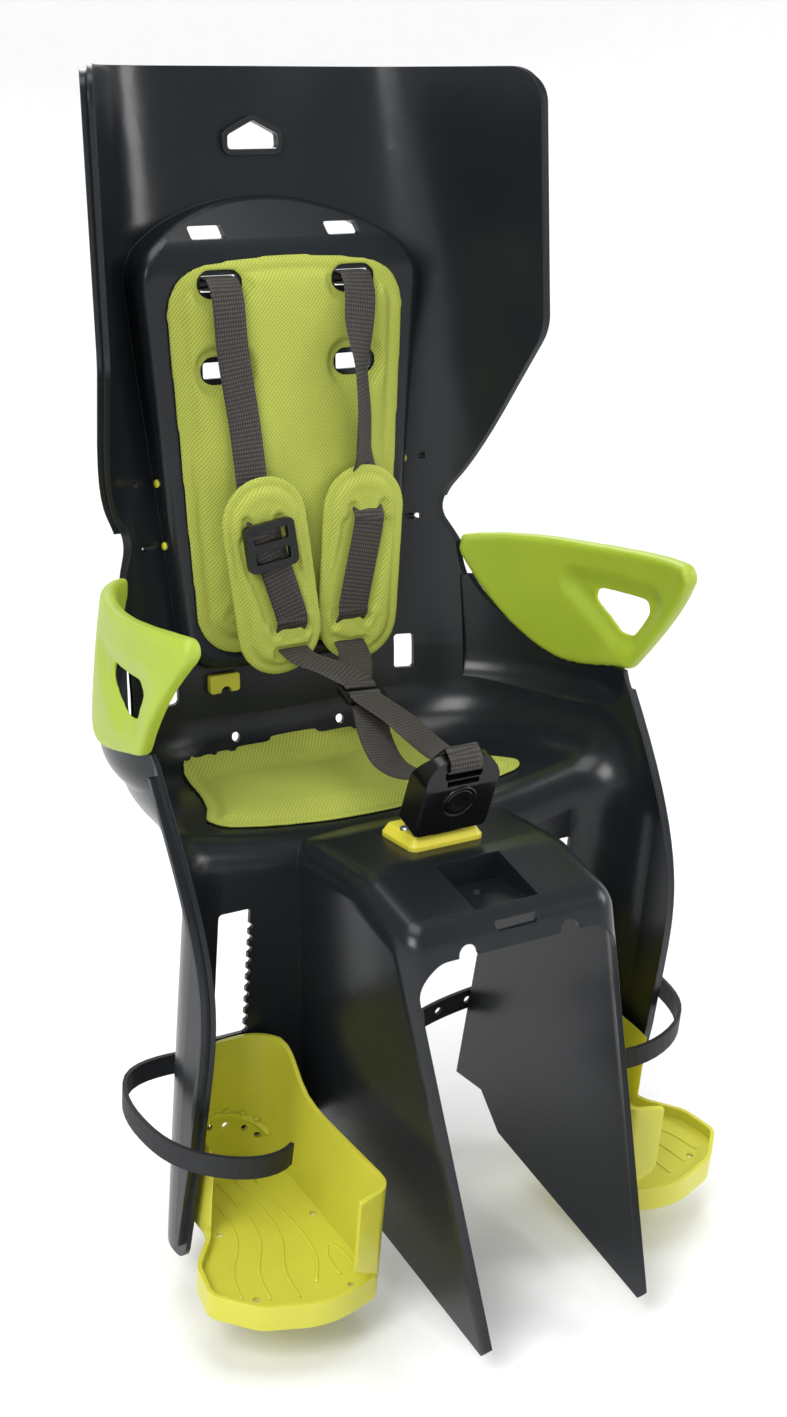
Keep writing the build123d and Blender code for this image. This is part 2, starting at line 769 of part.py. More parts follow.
def wrapped(side):
    """Points of the webbing's turn round the anchor bar, from below it to the front of the belt slot."""
    x = side * belt_slot_x
    level = belt_slot_z[0]
    middle = anchor_y(level)
    loop = bar_r + soft_gap * 3 + web_t / 2
    points = [(x, middle - 12, level - loop + 0.5), (x, middle - 6, level - loop)]
    for turn in (-90, -30, 30, 90):
        angle = math.radians(turn)
        points.append((x, middle + loop * math.cos(angle), level + loop * math.sin(angle)))
    return points + [(x, middle - 6, level + loop), (x, middle - 13, level + loop - 2)]


def pad_passage(lean_from, lean_to):
    """Points of the webbing in a shoulder pad's frame: in at the upper slit, out at the lower one."""
    face = strap_pad[2] / 2 + soft_gap + web_t / 2
    return [(lean_from, slit_v + 15, -face - 0.4), (lean_from, slit_v + 8, -face), (lean_from, slit_v, 0),
            (lean_from, slit_v - 8, face), (lean_from, slit_v - 16, face),
            ((lean_from + lean_to) / 2, 0, face),
            (lean_to, 16 - slit_v, face), (lean_to, 8 - slit_v, face), (lean_to, -slit_v, 0),
            (lean_to, -slit_v - 8, -face)]


def shoulder_route_left():
    lap = slider[2] / 2 + soft_gap + web_t / 2
    pad = strap_pad_plane(strap_pad_left, strap_pad_left_lean)
    top = [(52.5, 243.2, 368.0), (49.0, 241.5, 330.0), (50.0, 242.0, 280.0)]
    end = [(34.0, 222.0, 106.0), (20.0, 197.0, 100.0)]
    low = end + placed(slider_plane(), (0, 11, -lap), (0, 2, -lap))
    route = wrapped(1) + top + placed(pad, *pad_passage(2, -7)) + low
    return route[::-1]


def shoulder_route_right():
    lap = slider[2] / 2 + soft_gap + web_t / 2
    pad = strap_pad_plane(strap_pad_right, strap_pad_right_lean)
    top = [(-53.5, 243.2, 368.0), (-51.0, 242.0, 330.0), (-44.0, 240.5, 280.0)]
    end = [(-14.0, 214.0, 112.0), (-2.0, 196.0, 107.0)]
    low = end + placed(slider_plane(), (0, 11, lap), (0, 2, lap))
    route = wrapped(-1) + top + placed(pad, *pad_passage(-3, 8)) + low
    return route[::-1]


def shoulder_strap(route):
    return ribbon(route, (1, 0, 0), web_w, web_t)


def shoulder_pad(centre, lean, route):
    """Soft sleeve with round ends and a slit at each end that the webbing passes through."""
    width, length, thick = strap_pad
    plane = strap_pad_plane(centre, lean)
    pad = extrude(plane * RectangleRounded(width, length, strap_pad_r), thick / 2, both=True)
    rims = [e for e in pad.edges() if abs(abs(plane.to_local_coords(e.center()).Z) - thick / 2) < 0.01]
    pad = fillet(rims, pad_round)
    return pad - ribbon(route, (1, 0, 0), web_w + 4 * soft_gap, web_t + 2 * soft_gap)


def anchor_bar(side):
    level = belt_slot_z[0]
    return Pos(side * belt_slot_x, anchor_y(level), level) * Rot(0, 90, 0) * Cylinder(bar_r, bar_length)


def ladder_plate(plane, size, slot, slot_y, radius):
    """Flat plastic plate with two slots and a bar between them."""
    shape = RectangleRounded(size[0], size[1], radius)
    for side in (-1, 1):
        shape -= Pos(0, side * slot_y) * RectangleRounded(slot[0], slot[1], ladder_slot_r)
    return extrude(plane * shape, size[2] / 2, both=True)


def strap_adjuster():
    over = strap_pad[2] / 2 + 2 * soft_gap + web_t + 0.2 + adjuster[2] / 2
    plane = strap_pad_plane(strap_pad_right, strap_pad_right_lean)
    middle = plane.from_local_coords(Vector(*adjuster_at, over))
    plane = strap_pad_plane(middle, strap_pad_right_lean)
    return ladder_plate(plane, adjuster, adjuster_slot, (adjuster_slot[1] + adjuster_bar) / 2, adjuster_r)


def strap_slider():
    return ladder_plate(slider_plane(), slider, slider_slot, (slider_slot[1] + slider_bar) / 2, slider_r)


def buckle_plane():
    """Buckle's middle plane: x across, y up the tongue, z towards the child's knees."""
    lean = math.radians(buckle_lean)
    return Plane(origin=(0, *buckle_foot), x_dir=(1, 0, 0), z_dir=(0, -math.cos(lean), -math.sin(lean)))


def in_buckle(x, s, n, solid):
    """A solid moved from the buckle's own frame to its place."""
    return buckle_plane().location * Pos(x, s, n) * solid


def block(width, height, depth):
    """Box on its lower front edge's middle: x centred, y and z from zero."""
    return Box(width, height, depth, align=(Align.CENTER, Align.MIN, Align.MIN))


def buckle_body():
    """Housing with a tapered head, a webbing slot, room for the latch and a round hole for the button."""
    back, front = buckle_n
    head_back, head_front = buckle_top_n
    outline = Pos(0, buckle_h / 2) * Rectangle(buckle_w, buckle_h)
    heads = [v for v in outline.vertices() if v.Y > buckle_h - 1]
    outline = fillet(heads, buckle_top_r)
    feet = [v for v in outline.vertices() if v.Y < 1]
    outline = fillet(feet, buckle_foot_r)
    body = Pos(0, 0, back) * extrude(outline, front - back)
    body = chamfer(body.faces().sort_by(Axis.Z)[-1].edges(), buckle_edge)
    side = Polygon((back, 0), (front, 0), (front, buckle_taper_s), (head_front, buckle_h),
                   (head_back, buckle_h), (back, buckle_taper_s), align=None)
    turned = Plane(origin=(0, 0, 0), x_dir=(0, 0, 1), z_dir=(-1, 0, 0))
    body = body & extrude(turned * side, buckle_w, both=True)
    room_low = buckle_wall + 1
    room = block(2 * (latch[0] / 2 + 2), buckle_taper_s + 1 - room_low, front - back - 2 * buckle_wall)
    body -= Pos(0, room_low, back + buckle_wall) * room
    body -= Pos(0, web_slot_s, 0) * extrude(RectangleRounded(*web_slot, 2), 60, both=True)
    body -= Pos(0, button_s, 0) * Cylinder(button_r + button_gap, 40, align=upright)
    mouth = block(tongue_w + 2 * tongue_gap, 12, tongue_t + 2 * tongue_gap)
    body -= Pos(0, -1, -tongue_t / 2 - tongue_gap) * mouth
    return in_buckle(0, 0, 0, body)


def buckle_button():
    """Round button with a hollow top and the boss that reaches through the tongue's window to the latch."""
    top = buckle_n[1] + button_proud
    cap = Pos(0, 0, top - button_t) * Cylinder(button_r, button_t, align=upright)
    cap = fillet(cap.edges().sort_by(Axis.Z)[-1], button_edge)
    dish = Pos(0, 0, top + dish_r - dish_depth) * Sphere(dish_r)
    latch_front = -tongue_t / 2 - tongue_gap
    boss = Pos(0, 0, latch_front) * Cylinder(boss_r, top - button_t / 2 - latch_front,
                                             align=upright)
    return in_buckle(0, button_s, 0, cap - dish + boss)


def buckle_latch():
    """Plate behind the tongue with the tooth that catches in its window."""
    width, height, thick = latch
    front = -tongue_t / 2 - tongue_gap
    low = button_s - height / 2
    plate = Pos(0, low, front - thick) * block(width, height, thick)
    tooth_w, tooth_t = latch_tooth
    tooth_s = window_low() + tongue_gap
    tooth = Pos(0, tooth_s, front) * block(tooth_w, tooth_t, tongue_gap + latch_hold)
    return in_buckle(0, 0, 0, plate + tooth)


def window_low():
    """Lower edge of the tongue's window, round the button's boss."""
    return button_s - tongue_window[1] / 2


def buckle_spring():
    """Bowed leaf between the latch and the back wall."""
    top = -tongue_t / 2 - tongue_gap - latch[2] - 0.05
    low = buckle_n[0] + buckle_wall + 0.05
    heel = button_s - latch[1] / 2 + 2
    toe = button_s + latch[1] / 2 - 2
    with BuildPart() as leaf:
        with BuildSketch(Plane(origin=(0, 0, 0), x_dir=(0, 1, 0), z_dir=(1, 0, 0))):
            with BuildLine():
                ThreePointArc((heel, low + spring_t), (button_s, top), (toe, low + spring_t))
                Line((toe, low + spring_t), (toe, low))
                ThreePointArc((toe, low), (button_s, top - spring_t), (heel, low))
                Line((heel, low), (heel, low + spring_t))
            make_face()
        extrude(amount=spring_w / 2, both=True)
    return in_buckle(0, 0, 0, leaf.part)


def buckle_tongue():
    """Flat stalk with a window for the latch, standing on a foot plate under the deck."""
    plane = buckle_plane()
    under = deck_z - wall_t - soft_gap
    foot_s = plane.to_local_coords(Vector(0, tongue_y, deck_z)).Y
    outline = Pos(0, (tongue_top_s + foot_s - 12) / 2) * Rectangle(tongue_w, tongue_top_s - foot_s + 12)
    tops = [v for v in outline.vertices() if v.Y > tongue_top_s - 1]
    outline = fillet(tops, tongue_top_r)
    outline -= Pos(0, button_s) * RectangleRounded(*tongue_window, 2)
    stalk = in_buckle(0, 0, 0, extrude(outline, tongue_t / 2, both=True))
    stalk = stalk & (Pos(0, 0, under) * Box(200, 400, 200, align=upright))
    lean = math.tan(math.radians(buckle_lean))
    width, depth, thick = tongue_foot
    foot = Pos(0, tongue_y + lean * (deck_z - under), under - thick / 2) * Box(width, depth, thick)
    return stalk + foot


def buckle_base():
    """Bevelled block on the deck round the tongue."""
    width, depth, height = base_size
    body = Box(width, depth, height, align=upright)
    body = fillet(body.edges().filter_by(Axis.Z), base_bevel)
    body = chamfer(body.faces().sort_by(Axis.Z)[-1].edges(), base_bevel, base_bevel * 0.75)
    body = Pos(0, base_y, deck_z) * body
    lean = math.tan(math.radians(buckle_lean)) * height
    slot = Pos(0, tongue_y - lean / 2, deck_z) * Box(tongue_w + 4, tongue_t + lean + 6, 4 * height)
    screw_hole = Pos(base_screw_x, base_y, deck_z) * Cylinder(base_screw_r + pin_gap, 60)
    return body - slot - both_sides(screw_hole)


def base_screws():
    """Two pan-head screws through the base and the deck."""
    head_r, head_h = base_screw_head
    length = base_size[2] + wall_t + 4
    shank = Pos(0, 0, -length) * Cylinder(base_screw_r, length, align=upright)
    head = Cylinder(head_r, head_h, align=upright)
    head = fillet(head.edges().sort_by(Axis.Z)[-1], head_h * 0.6)
    screw = shank + head - Pos(0, 0, head_h) * Box(1, head_r * 2, head_h)
    return Compound([Pos(x, base_y, deck_z + base_size[2]) * screw for x in (-base_screw_x, base_screw_x)])


def crotch_strap_left():
    """Upper strand from the slider to the buckle, laid over the head of the buckle into its slot."""
    lap = slider[2] / 2 + soft_gap + web_t / 2
    start = placed(slider_plane(), (0, -2, lap), (0, -11, lap))
    middle = [(17.0, 130.0, 83.0), (21.0, 100.0, 73.0), (15.0, 66.0, 74.0), (5.0, 40.0, 86.0)]
    over_head = [(0, 64.5, -6), (0, 62.6, 0.5), (0, 60.2, 4.6), (0, 54, 6.6), (0, 50.3, 2), (0, 50, -4)]
    end = placed(buckle_plane(), *over_head)
    return ribbon(start + middle + end, (1, 0, 0), web_w, web_t)


def crotch_strap_right():
    """Lower strand from the slider to the back of the buckle's head."""
    lap = slider[2] / 2 + soft_gap + web_t / 2
    start = placed(slider_plane(), (0, -2, -lap), (0, -11, -lap))
    middle = [(-2.0, 130.0, 72.0), (-8.0, 100.0, 62.0), (-6.0, 70.0, 62.0), (-1.0, 46.0, 71.0)]
    end = placed(buckle_plane(), (0, 58.5, -8.2), (0, 52, -10.2))
    return ribbon(start + middle + end, (1, 0, 0), web_w, web_t)


def rest_plane():
    """Frame of the footrests on the calf plane: x across, y to the rear, z along the slide."""
    slope = math.atan(calf_lean)
    along = (0, -math.sin(slope), math.cos(slope))
    return Plane(origin=(0, calf_at(rest_z), rest_z), x_dir=(1, 0, 0), z_dir=along)


def on_rest(solid):
    return rest_plane().location * solid


def tray_outline():
    """Plan of the left tray: a shoe shape, straight along the spoke guard."""
    heel = -slide_gap
    rear_inner = (tray_inner_x, heel)
    rear_outer = (tray_outer_x, heel)
    shape = Polygon(rear_inner, *tray_plan, rear_outer, align=None)
    for point, radius in zip(tray_plan, tray_plan_r):
        shape = fillet(corner(shape, point), radius)
    shape = fillet(corner(shape, rear_inner), tray_rear_inner_r)
    return fillet(corner(shape, rear_outer), bowl_r + tray_rear_gap)


def footrest():
    """Left tray with heel plate, high inner wall, low lip, skirt and the boss that slides in its slot."""
    outline = tray_outline()
    heel = -slide_gap
    floor = Pos(0, 0, -tray_t) * extrude(outline, tray_t)
    ring = outline - offset(outline, -tray_t)
    walls = extrude(ring, tray_heel_h + 10)
    heel_top = (heel - 12, tray_heel_h)
    inner_side = Polygon((heel, 0), (heel, tray_heel_h), heel_top, tray_wall_dip, tray_wall_front,
                         tray_wall_tip, tray_wall_end, (tray_wall_end[0], 0), align=None)
    for point in (heel_top, tray_wall_dip, tray_wall_tip):
        inner_side = fillet(corner(inner_side, point), tray_wall_r)
    inner_reach = extrude(Plane.YZ * inner_side, tray_inner_x + 26)
    lip_reach = Pos(0, -100, 0) * Box(600, 400, 2 * tray_lip_h)
    heel_top_x = calf_slot_x + calf_slot_w / 2 + 4
    heel_shape = Polygon((0, 0), (0, tray_heel_h), (heel_top_x, tray_heel_h),
                         (tray_outer_x, tray_heel_outer_h), (tray_outer_x, 0), align=None)
    heel_shape = fillet(corner(heel_shape, (heel_top_x, tray_heel_h)), tray_wall_r)
    heel_reach = slab(-tray_outer_reach, heel, heel_shape)
    skirt = Pos(0, 0, -tray_skirt_h) * extrude(ring, tray_skirt_h)
    skirt = skirt & (Pos(0, -300 - 105, 0) * Box(800, 600, 200))
    boss_half = calf_slot_w / 2 - slide_gap
    boss_depth = wall_t + 2 * slide_gap
    boss = block(2 * boss_half, boss_depth + 0.01, boss_w[1] - boss_w[0])
    boss = Pos(calf_slot_x, heel - 0.01, boss_w[0]) * boss
    tray = floor + (walls & (inner_reach + lip_reach + heel_reach)) + skirt + boss
    drains = [Pos(x, y, 0) * Cylinder(tray_hole_r, 20) for x, y in tray_holes]
    vents = [slab(heel - 10, heel + 10, Pos(x, z) * Circle(tray_hole_r)) for x, z in heel_holes]
    return on_rest(tray - drains - vents)


def lock_back():
    """Distance of the lock plate's front from the calf panel's front face."""
    return wall_t + slide_gap


def footrest_lock():
    """Plate behind the calf panel that holds the left tray's boss in its slot."""
    width = lock_x[1] - lock_x[0]
    height = lock_w[1] - lock_w[0]
    shape = Pos(sum(lock_x) / 2, sum(lock_w) / 2) * RectangleRounded(width, height, lock_r)
    plate = slab(lock_back(), lock_back() + lock_t, shape)
    tab = Pos(calf_slot_x, lock_back(), lock_w[0] - 12) * block(20, lock_t, 14)
    return on_rest(plate + tab)


def strap_back():
    """Distance of the strap's middle behind the calf panel's front face, where it hangs on the stud."""
    return lock_back() + lock_t + stud_size[2] + soft_gap + foot_strap_t / 2


def strap_stud():
    """Upright clip on the lock plate with a headed stud for the strap's keyhole."""
    width, height, thick = stud_size
    middle = sum(lock_w) / 2
    bar = slab(0, thick, RectangleRounded(width, height, stud_bar_r))
    pin_length = 2 * soft_gap + foot_strap_t
    head_r, head_t = stud_head
    pin = Cylinder(stud_r, pin_length, align=upright)
    pin += Pos(0, 0, pin_length) * Cylinder(head_r, head_t, align=upright)
    pin = Pos(0, thick, 0) * Rot(-90, 0, 0) * pin
    return on_rest(Pos(stud_x, lock_back() + lock_t, middle) * (bar + pin))


def foot_strap():
    """Left strap: from its tail behind the calf panel, over the stud, round the flange, across the foot."""
    back = strap_back()
    level = sum(lock_w) / 2
    route = [(36.0, back - 2, level - 8), (70.0, back, level - 3), (stud_x, back, level),
             (140.0, back + 3, level + 3), (180.0, back + 5, level + 5), (206.0, back - 6, level + 6),
             (215.0, -12.0, level + 5), (216.0, -42.0, level + 4), (207.0, -76.0, level + 4),
             (185.0, -97.0, level + 2), (160.0, -102.0, level - 3), (130.0, -91.0, level - 9)]
    strap = ribbon(route, (0, 0, 1), foot_strap_w, foot_strap_t)
    hole = slab(-20, 60, Circle(keyhole_r))
    for i in (-2, -1, 0, 1):
        shift = i * keyhole_pitch
        strap -= Pos(stud_x + shift, 0, level + shift * foot_strap_rise) * hole
    return on_rest(strap)


def build():
    """All the sub-parts by node name."""
    space = seat_space(0.0)
    shell = seat_shell(space)
    handle_left = handle(shell)
    left, right = shoulder_route_left(), shoulder_route_right()
    nodes = {
        "seat_shell": shell,
        "handle_left": handle_left,
        "handle_right": handle_left.mirror(Plane.YZ),
        "back_pad": back_pad(),
        "seat_pad": seat_pad(),
        "pad_pegs": pad_pegs(),
        "pad_clip": pad_clip(space),
        "shoulder_strap_left": shoulder_strap(left),
        "shoulder_strap_right": shoulder_strap(right),
        "shoulder_pad_left": shoulder_pad(strap_pad_left, strap_pad_left_lean, left),
        "shoulder_pad_right": shoulder_pad(strap_pad_right, strap_pad_right_lean, right),
        "anchor_bar_left": anchor_bar(1),
        "anchor_bar_right": anchor_bar(-1),
        "strap_adjuster": strap_adjuster(),
        "strap_slider": strap_slider(),
        "crotch_strap_left": crotch_strap_left(),
        "crotch_strap_right": crotch_strap_right(),
        "buckle_body": buckle_body(),
        "buckle_button": buckle_button(),
        "buckle_latch": buckle_latch(),
        "buckle_spring": buckle_spring(),
        "buckle_tongue": buckle_tongue(),
        "buckle_base": buckle_base(),
        "base_screws": base_screws(),
    }
    moving = {"footrest": footrest(), "footrest_lock": footrest_lock(), "strap_stud": strap_stud(),
              "foot_strap": foot_strap()}
    for name, solid in moving.items():
        nodes[name + "_left"] = solid
        nodes[name + "_right"] = solid.mirror(Plane.YZ)
    return nodes


if __name__ == "__main__":
    os.makedirs("parts", exist_ok=True)
    for name, solid in build().items():
        export_step(solid, f"parts/{name}.step")
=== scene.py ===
# %% [markdown]
# # A child bike seat in a studio
# The seat arrives as a set of solids: a moulded shell, two armrest handles, pads, harness webbing, a
# buckle and two footrests. This lesson gives each of them its finish, and rebuilds the soft pieces as
# cloth and webbing. Everything is in metres, in the frame of the solids, so a piece is modelled where it
# belongs and is never moved afterwards.

# %% Load the solids
import json
import math

import bmesh
import bpy
from mathutils import Matrix, Vector
from mathutils.bvhtree import BVHTree
from mathutils.kdtree import KDTree


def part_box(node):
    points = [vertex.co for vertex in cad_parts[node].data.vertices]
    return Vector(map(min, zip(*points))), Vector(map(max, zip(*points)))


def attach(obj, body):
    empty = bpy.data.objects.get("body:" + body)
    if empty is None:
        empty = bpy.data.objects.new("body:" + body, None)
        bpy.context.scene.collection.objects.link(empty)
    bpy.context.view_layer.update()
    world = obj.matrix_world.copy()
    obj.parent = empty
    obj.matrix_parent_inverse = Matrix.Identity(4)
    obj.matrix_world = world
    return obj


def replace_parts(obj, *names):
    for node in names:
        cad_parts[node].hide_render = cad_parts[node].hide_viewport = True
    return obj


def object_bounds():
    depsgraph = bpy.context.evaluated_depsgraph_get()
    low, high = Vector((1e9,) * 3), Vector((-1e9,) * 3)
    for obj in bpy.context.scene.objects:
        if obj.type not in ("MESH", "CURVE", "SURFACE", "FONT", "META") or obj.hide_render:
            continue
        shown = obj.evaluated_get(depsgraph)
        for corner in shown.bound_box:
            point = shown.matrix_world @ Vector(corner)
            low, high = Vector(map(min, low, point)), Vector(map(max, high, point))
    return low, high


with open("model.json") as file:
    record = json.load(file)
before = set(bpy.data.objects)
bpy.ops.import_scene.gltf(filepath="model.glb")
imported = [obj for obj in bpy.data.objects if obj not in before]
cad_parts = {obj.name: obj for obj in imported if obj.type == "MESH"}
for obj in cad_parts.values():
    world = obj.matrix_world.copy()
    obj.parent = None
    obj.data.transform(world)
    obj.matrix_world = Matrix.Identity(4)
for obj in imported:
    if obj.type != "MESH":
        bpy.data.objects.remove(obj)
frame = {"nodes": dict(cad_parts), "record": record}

MM = 0.001
nodes = frame["nodes"]
cad_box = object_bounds()
body_of = {node: body for body, members in frame["record"]["behaviour"]["bodies"].items() for node in members}
slot_of = {part["node"]: part["material_slot"] for part in frame["record"]["subparts"]}
print("solids:", len(nodes), "box:", [tuple(round(v, 3) for v in corner) for corner in cad_box])

# %% [markdown]
# ## Camera
# A photograph taken from about 1.4 metres shows the near footrest clearly larger than the far one. A long
# lens would flatten that, so the camera stands where the picture was taken: 31 degrees to the side,
# looking 17 degrees down, with the focal length given in pixels of the picture's height.

# %% Camera
PICTURE_HEIGHT_PX = 1417
FOCAL_PX = 2000.0
SENSOR_MM = 36.0
CAMERA_AT = Vector((-0.6828, -1.0274, 0.5089))
CAMERA_YAW = 31.0
CAMERA_PITCH = 17.198


def in_scene(name, data):
    """New object of the scene, at the origin."""
    made = bpy.data.objects.new(name, data)
    bpy.context.scene.collection.objects.link(made)
    return made


camera = in_scene("studio_camera", bpy.data.cameras.new("studio_camera"))
camera.data.sensor_width = SENSOR_MM
camera.data.lens = SENSOR_MM * FOCAL_PX / PICTURE_HEIGHT_PX
camera.location = CAMERA_AT
camera.rotation_euler = (math.radians(90 - CAMERA_PITCH), 0, math.radians(-CAMERA_YAW))
bpy.context.scene.camera = camera
print("lens:", round(camera.data.lens, 1), "mm")

# %% [markdown]
# ## Colours and shader nodes
# Colours are written as the hex codes that a paint program shows. Shaders count in linear light, so one
# function converts them. Another adds a shader node: it sets the node's properties and fills its sockets,
# and it links a socket when the value is itself another node's socket. Most finishes wander between two
# close shades, so the mix of two colours has a function too.

# %% Helpers for materials
# A Mix node has several sockets of the same name, so those for colours are picked by number.
COLOUR_A = 6
COLOUR_B = 7
COLOUR_OUT = 2


def linear(code):
    """Linear RGBA of an sRGB hex code."""
    shares = [int(code[i:i + 2], 16) / 255 for i in (1, 3, 5)]
    return [s / 12.92 if s <= 0.04045 else ((s + 0.055) / 1.055) ** 2.4 for s in shares] + [1.0]


def fill(tree, made, sockets):
    """Sets a node's sockets to values, or links them to the sockets of other nodes."""
    for name, value in sockets.items():
        if isinstance(value, bpy.types.NodeSocket):
            tree.links.new(value, made.inputs[name])
        else:
            made.inputs[name].default_value = value


def put(tree, kind, sockets=None, **settings):
    """Adds a shader node with its settings, socket values and links."""
    made = tree.nodes.new("ShaderNode" + kind)
    for name, value in settings.items():
        setattr(made, name, value)
    fill(tree, made, sockets or {})
    return made


def two_tones(tree, share, deep, pale):
    """Colour between a deep and a pale one, by a share from 0 to 1."""
    mixed = put(tree, "Mix", {"Factor": share, COLOUR_A: deep, COLOUR_B: pale}, data_type="RGBA")
    return mixed.outputs[COLOUR_OUT]


def new_finish(name):
    """A material with its node tree and its surface shader."""
    finish = bpy.data.materials.new(name)
    finish.use_nodes = True
    return finish, finish.node_tree, finish.node_tree.nodes["Principled BSDF"]


print("lime in linear light:", [round(v, 3) for v in linear("#b4c43f")])

# %% [markdown]
# ## Moulded polypropylene
# The shell is injection-moulded polypropylene in anthracite. Its mould was spark-eroded, so the skin has
# a very fine grain: it spreads a lamp into a wide soft glow instead of mirroring it. The grain is a small
# bump, slightly coarser than the real one so that it shows, and the roughness wanders a little as it does
# on large mouldings.

# %% Polypropylene of the shell
GRAIN_MM = 0.9
GRAIN_DEPTH_MM = 0.1
FLOW_MM = 140.0
EDGE_MM = 0.9

shell_finish, tree, shader = new_finish("moulded_polypropylene_anthracite")
place = put(tree, "TexCoord").outputs["Object"]
grain = put(tree, "TexNoise", {"Vector": place, "Scale": 1 / (GRAIN_MM * MM), "Detail": 1.0})
flow = put(tree, "TexNoise", {"Vector": place, "Scale": 1 / (FLOW_MM * MM), "Detail": 3.0})
tone = two_tones(tree, flow.outputs["Fac"], linear("#14171a"), linear("#1b1f23"))
gloss = put(tree, "MapRange", {"Value": flow.outputs["Fac"], "To Min": 0.22, "To Max": 0.3})
soft_edge = put(tree, "Bevel", {"Radius": EDGE_MM * MM}, samples=4)
bump = put(tree, "Bump", {"Height": grain.outputs["Fac"], "Normal": soft_edge.outputs["Normal"],
                          "Strength": 0.06, "Distance": GRAIN_DEPTH_MM * MM})
fill(tree, shader, {"Base Color": tone, "Roughness": gloss.outputs["Result"],
                    "Normal": bump.outputs["Normal"], "IOR": 1.49, "Specular IOR Level": 0.32})
print("made", shell_finish.name)

# %% [markdown]
# ## Other plastics and rubber
# The other plastic and rubber pieces are moulded too, so they share one recipe: two close shades, a
# roughness, and a grain. The handles are soft elastomer, the footrests and the buckle's base are dyed
# polypropylene, the buckle and the strap fittings are black nylon, and the foot straps are dull rubber.
# Light enters the bright lime plastics a few millimetres before it comes back, and a little subsurface
# scattering gives that glow.

# %% Recipe for moulded pieces
CLOUD_MM = 40.0


def moulded(name, deep, pale, roughness, grain_mm=0.8, glow_mm=0.0, edge_mm=0.5, shine=0.5):
    """Moulded plastic or rubber in two shades, with a grain and softly catching edges."""
    finish, tree, shader = new_finish(name)
    place = put(tree, "TexCoord").outputs["Object"]
    cloud = put(tree, "TexNoise", {"Vector": place, "Scale": 1 / (CLOUD_MM * MM), "Detail": 3.0})
    grain = put(tree, "TexNoise", {"Vector": place, "Scale": 1 / (grain_mm * MM), "Detail": 1.0})
    tone = two_tones(tree, cloud.outputs["Fac"], linear(deep), linear(pale))
    gloss = put(tree, "MapRange", {"Value": cloud.outputs["Fac"], "To Min": roughness - 0.04,
                                   "To Max": roughness + 0.05})
    soft_edge = put(tree, "Bevel", {"Radius": edge_mm * MM}, samples=4)
    bump = put(tree, "Bump", {"Height": grain.outputs["Fac"], "Normal": soft_edge.outputs["Normal"],
                              "Strength": 0.08, "Distance": GRAIN_DEPTH_MM * MM})
    fill(tree, shader, {"Base Color": tone, "Roughness": gloss.outputs["Result"],
                        "Normal": bump.outputs["Normal"], "IOR": 1.5, "Specular IOR Level": shine})
    if glow_mm:
        fill(tree, shader, {"Subsurface Weight": 0.35, "Subsurface Radius": (1.0, 0.9, 0.2),
                            "Subsurface Scale": glow_mm * MM})
    return finish


# Soft elastomer skin: dull, with a warm glow where it is thin.
handle_finish = moulded("thermoplastic_elastomer_lime", "#8fa42a", "#a1b535", 0.46, glow_mm=5.0)
# Dyed polypropylene, satin from a polished mould.
footrest_finish = moulded("dyed_polypropylene_yellow_lime", "#bfbd3a", "#cac845", 0.36, glow_mm=3.0)
base_finish = moulded("dyed_polypropylene_yellow", "#cfc43a", "#d9cf48", 0.36, glow_mm=3.0)
# Acetal of the pegs and the clip: hard, and a little shinier.
trim_finish = moulded("acetal_lime", "#b9b52c", "#c9c63b", 0.34, glow_mm=2.0)
# Black glass-filled nylon of buckles: darker and shinier than the shell.
nylon_finish = moulded("nylon_black", "#0a0b0c", "#111214", 0.22, shine=0.32)
# Dull rubber of the foot straps.
rubber_finish = moulded("rubber_dark_grey", "#15171a", "#1e2024", 0.6, grain_mm=0.6, shine=0.35)
print("made", len(bpy.data.materials), "finishes")

# %% [markdown]
# ## Zinc-plated steel
# The anchor bars, the screws and the spring in the buckle are plated steel. Plating is a thin crystalline
# skin, so its roughness varies in small patches while its colour stays that of bright zinc.

# %% Zinc-plated steel
CRYSTAL_MM = 1.2

steel_finish, tree, shader = new_finish("steel_zinc_plated")
place = put(tree, "TexCoord").outputs["Object"]
crystal = put(tree, "TexVoronoi", {"Vector": place, "Scale": 1 / (CRYSTAL_MM * MM)})
tone = two_tones(tree, crystal.outputs["Distance"], linear("#b9bcc0"), linear("#d3d5d8"))
gloss = put(tree, "MapRange", {"Value": crystal.outputs["Distance"], "To Min": 0.25, "To Max": 0.42})
fill(tree, shader, {"Base Color": tone, "Roughness": gloss.outputs["Result"], "Metallic": 1.0})
print("made", steel_finish.name)

# %% [markdown]
# ## Finishes for the rigid solids
# The shell and the fittings are already the right shape, and their curved faces carry smooth normals, so
# they stay as they are and only get their finish. A few of the solids dressed here get a finer stand-in
# further down.

# %% Dress the rigid solids
FINISH_OF_SLOT = {
    "shell": shell_finish,
    "handle": handle_finish,
    "lime_trim": trim_finish,
    "black_plastic": nylon_finish,
    "steel": steel_finish,
    "base_plastic": base_finish,
    "footrest": footrest_finish,
    "rubber": rubber_finish,
}
for node, solid in nodes.items():
    if slot_of[node] in FINISH_OF_SLOT:
        solid.data.materials.clear()
        solid.data.materials.append(FINISH_OF_SLOT[slot_of[node]])
print("dressed", sum(slot in FINISH_OF_SLOT for slot in slot_of.values()), "solids")

# %% [markdown]
# ## Armrest handles
# A handle is a soft cap with a finger hole, and its rubber slopes into the hole like a dish so that
# fingers slide in. Sculpting that by hand couldn't be repeated, so a copy of the cap gets an even skin by
# voxel remesh, and its thickness is pressed together towards the hole. A point's place across the
# thickness is read from the nearest point of the outer face.

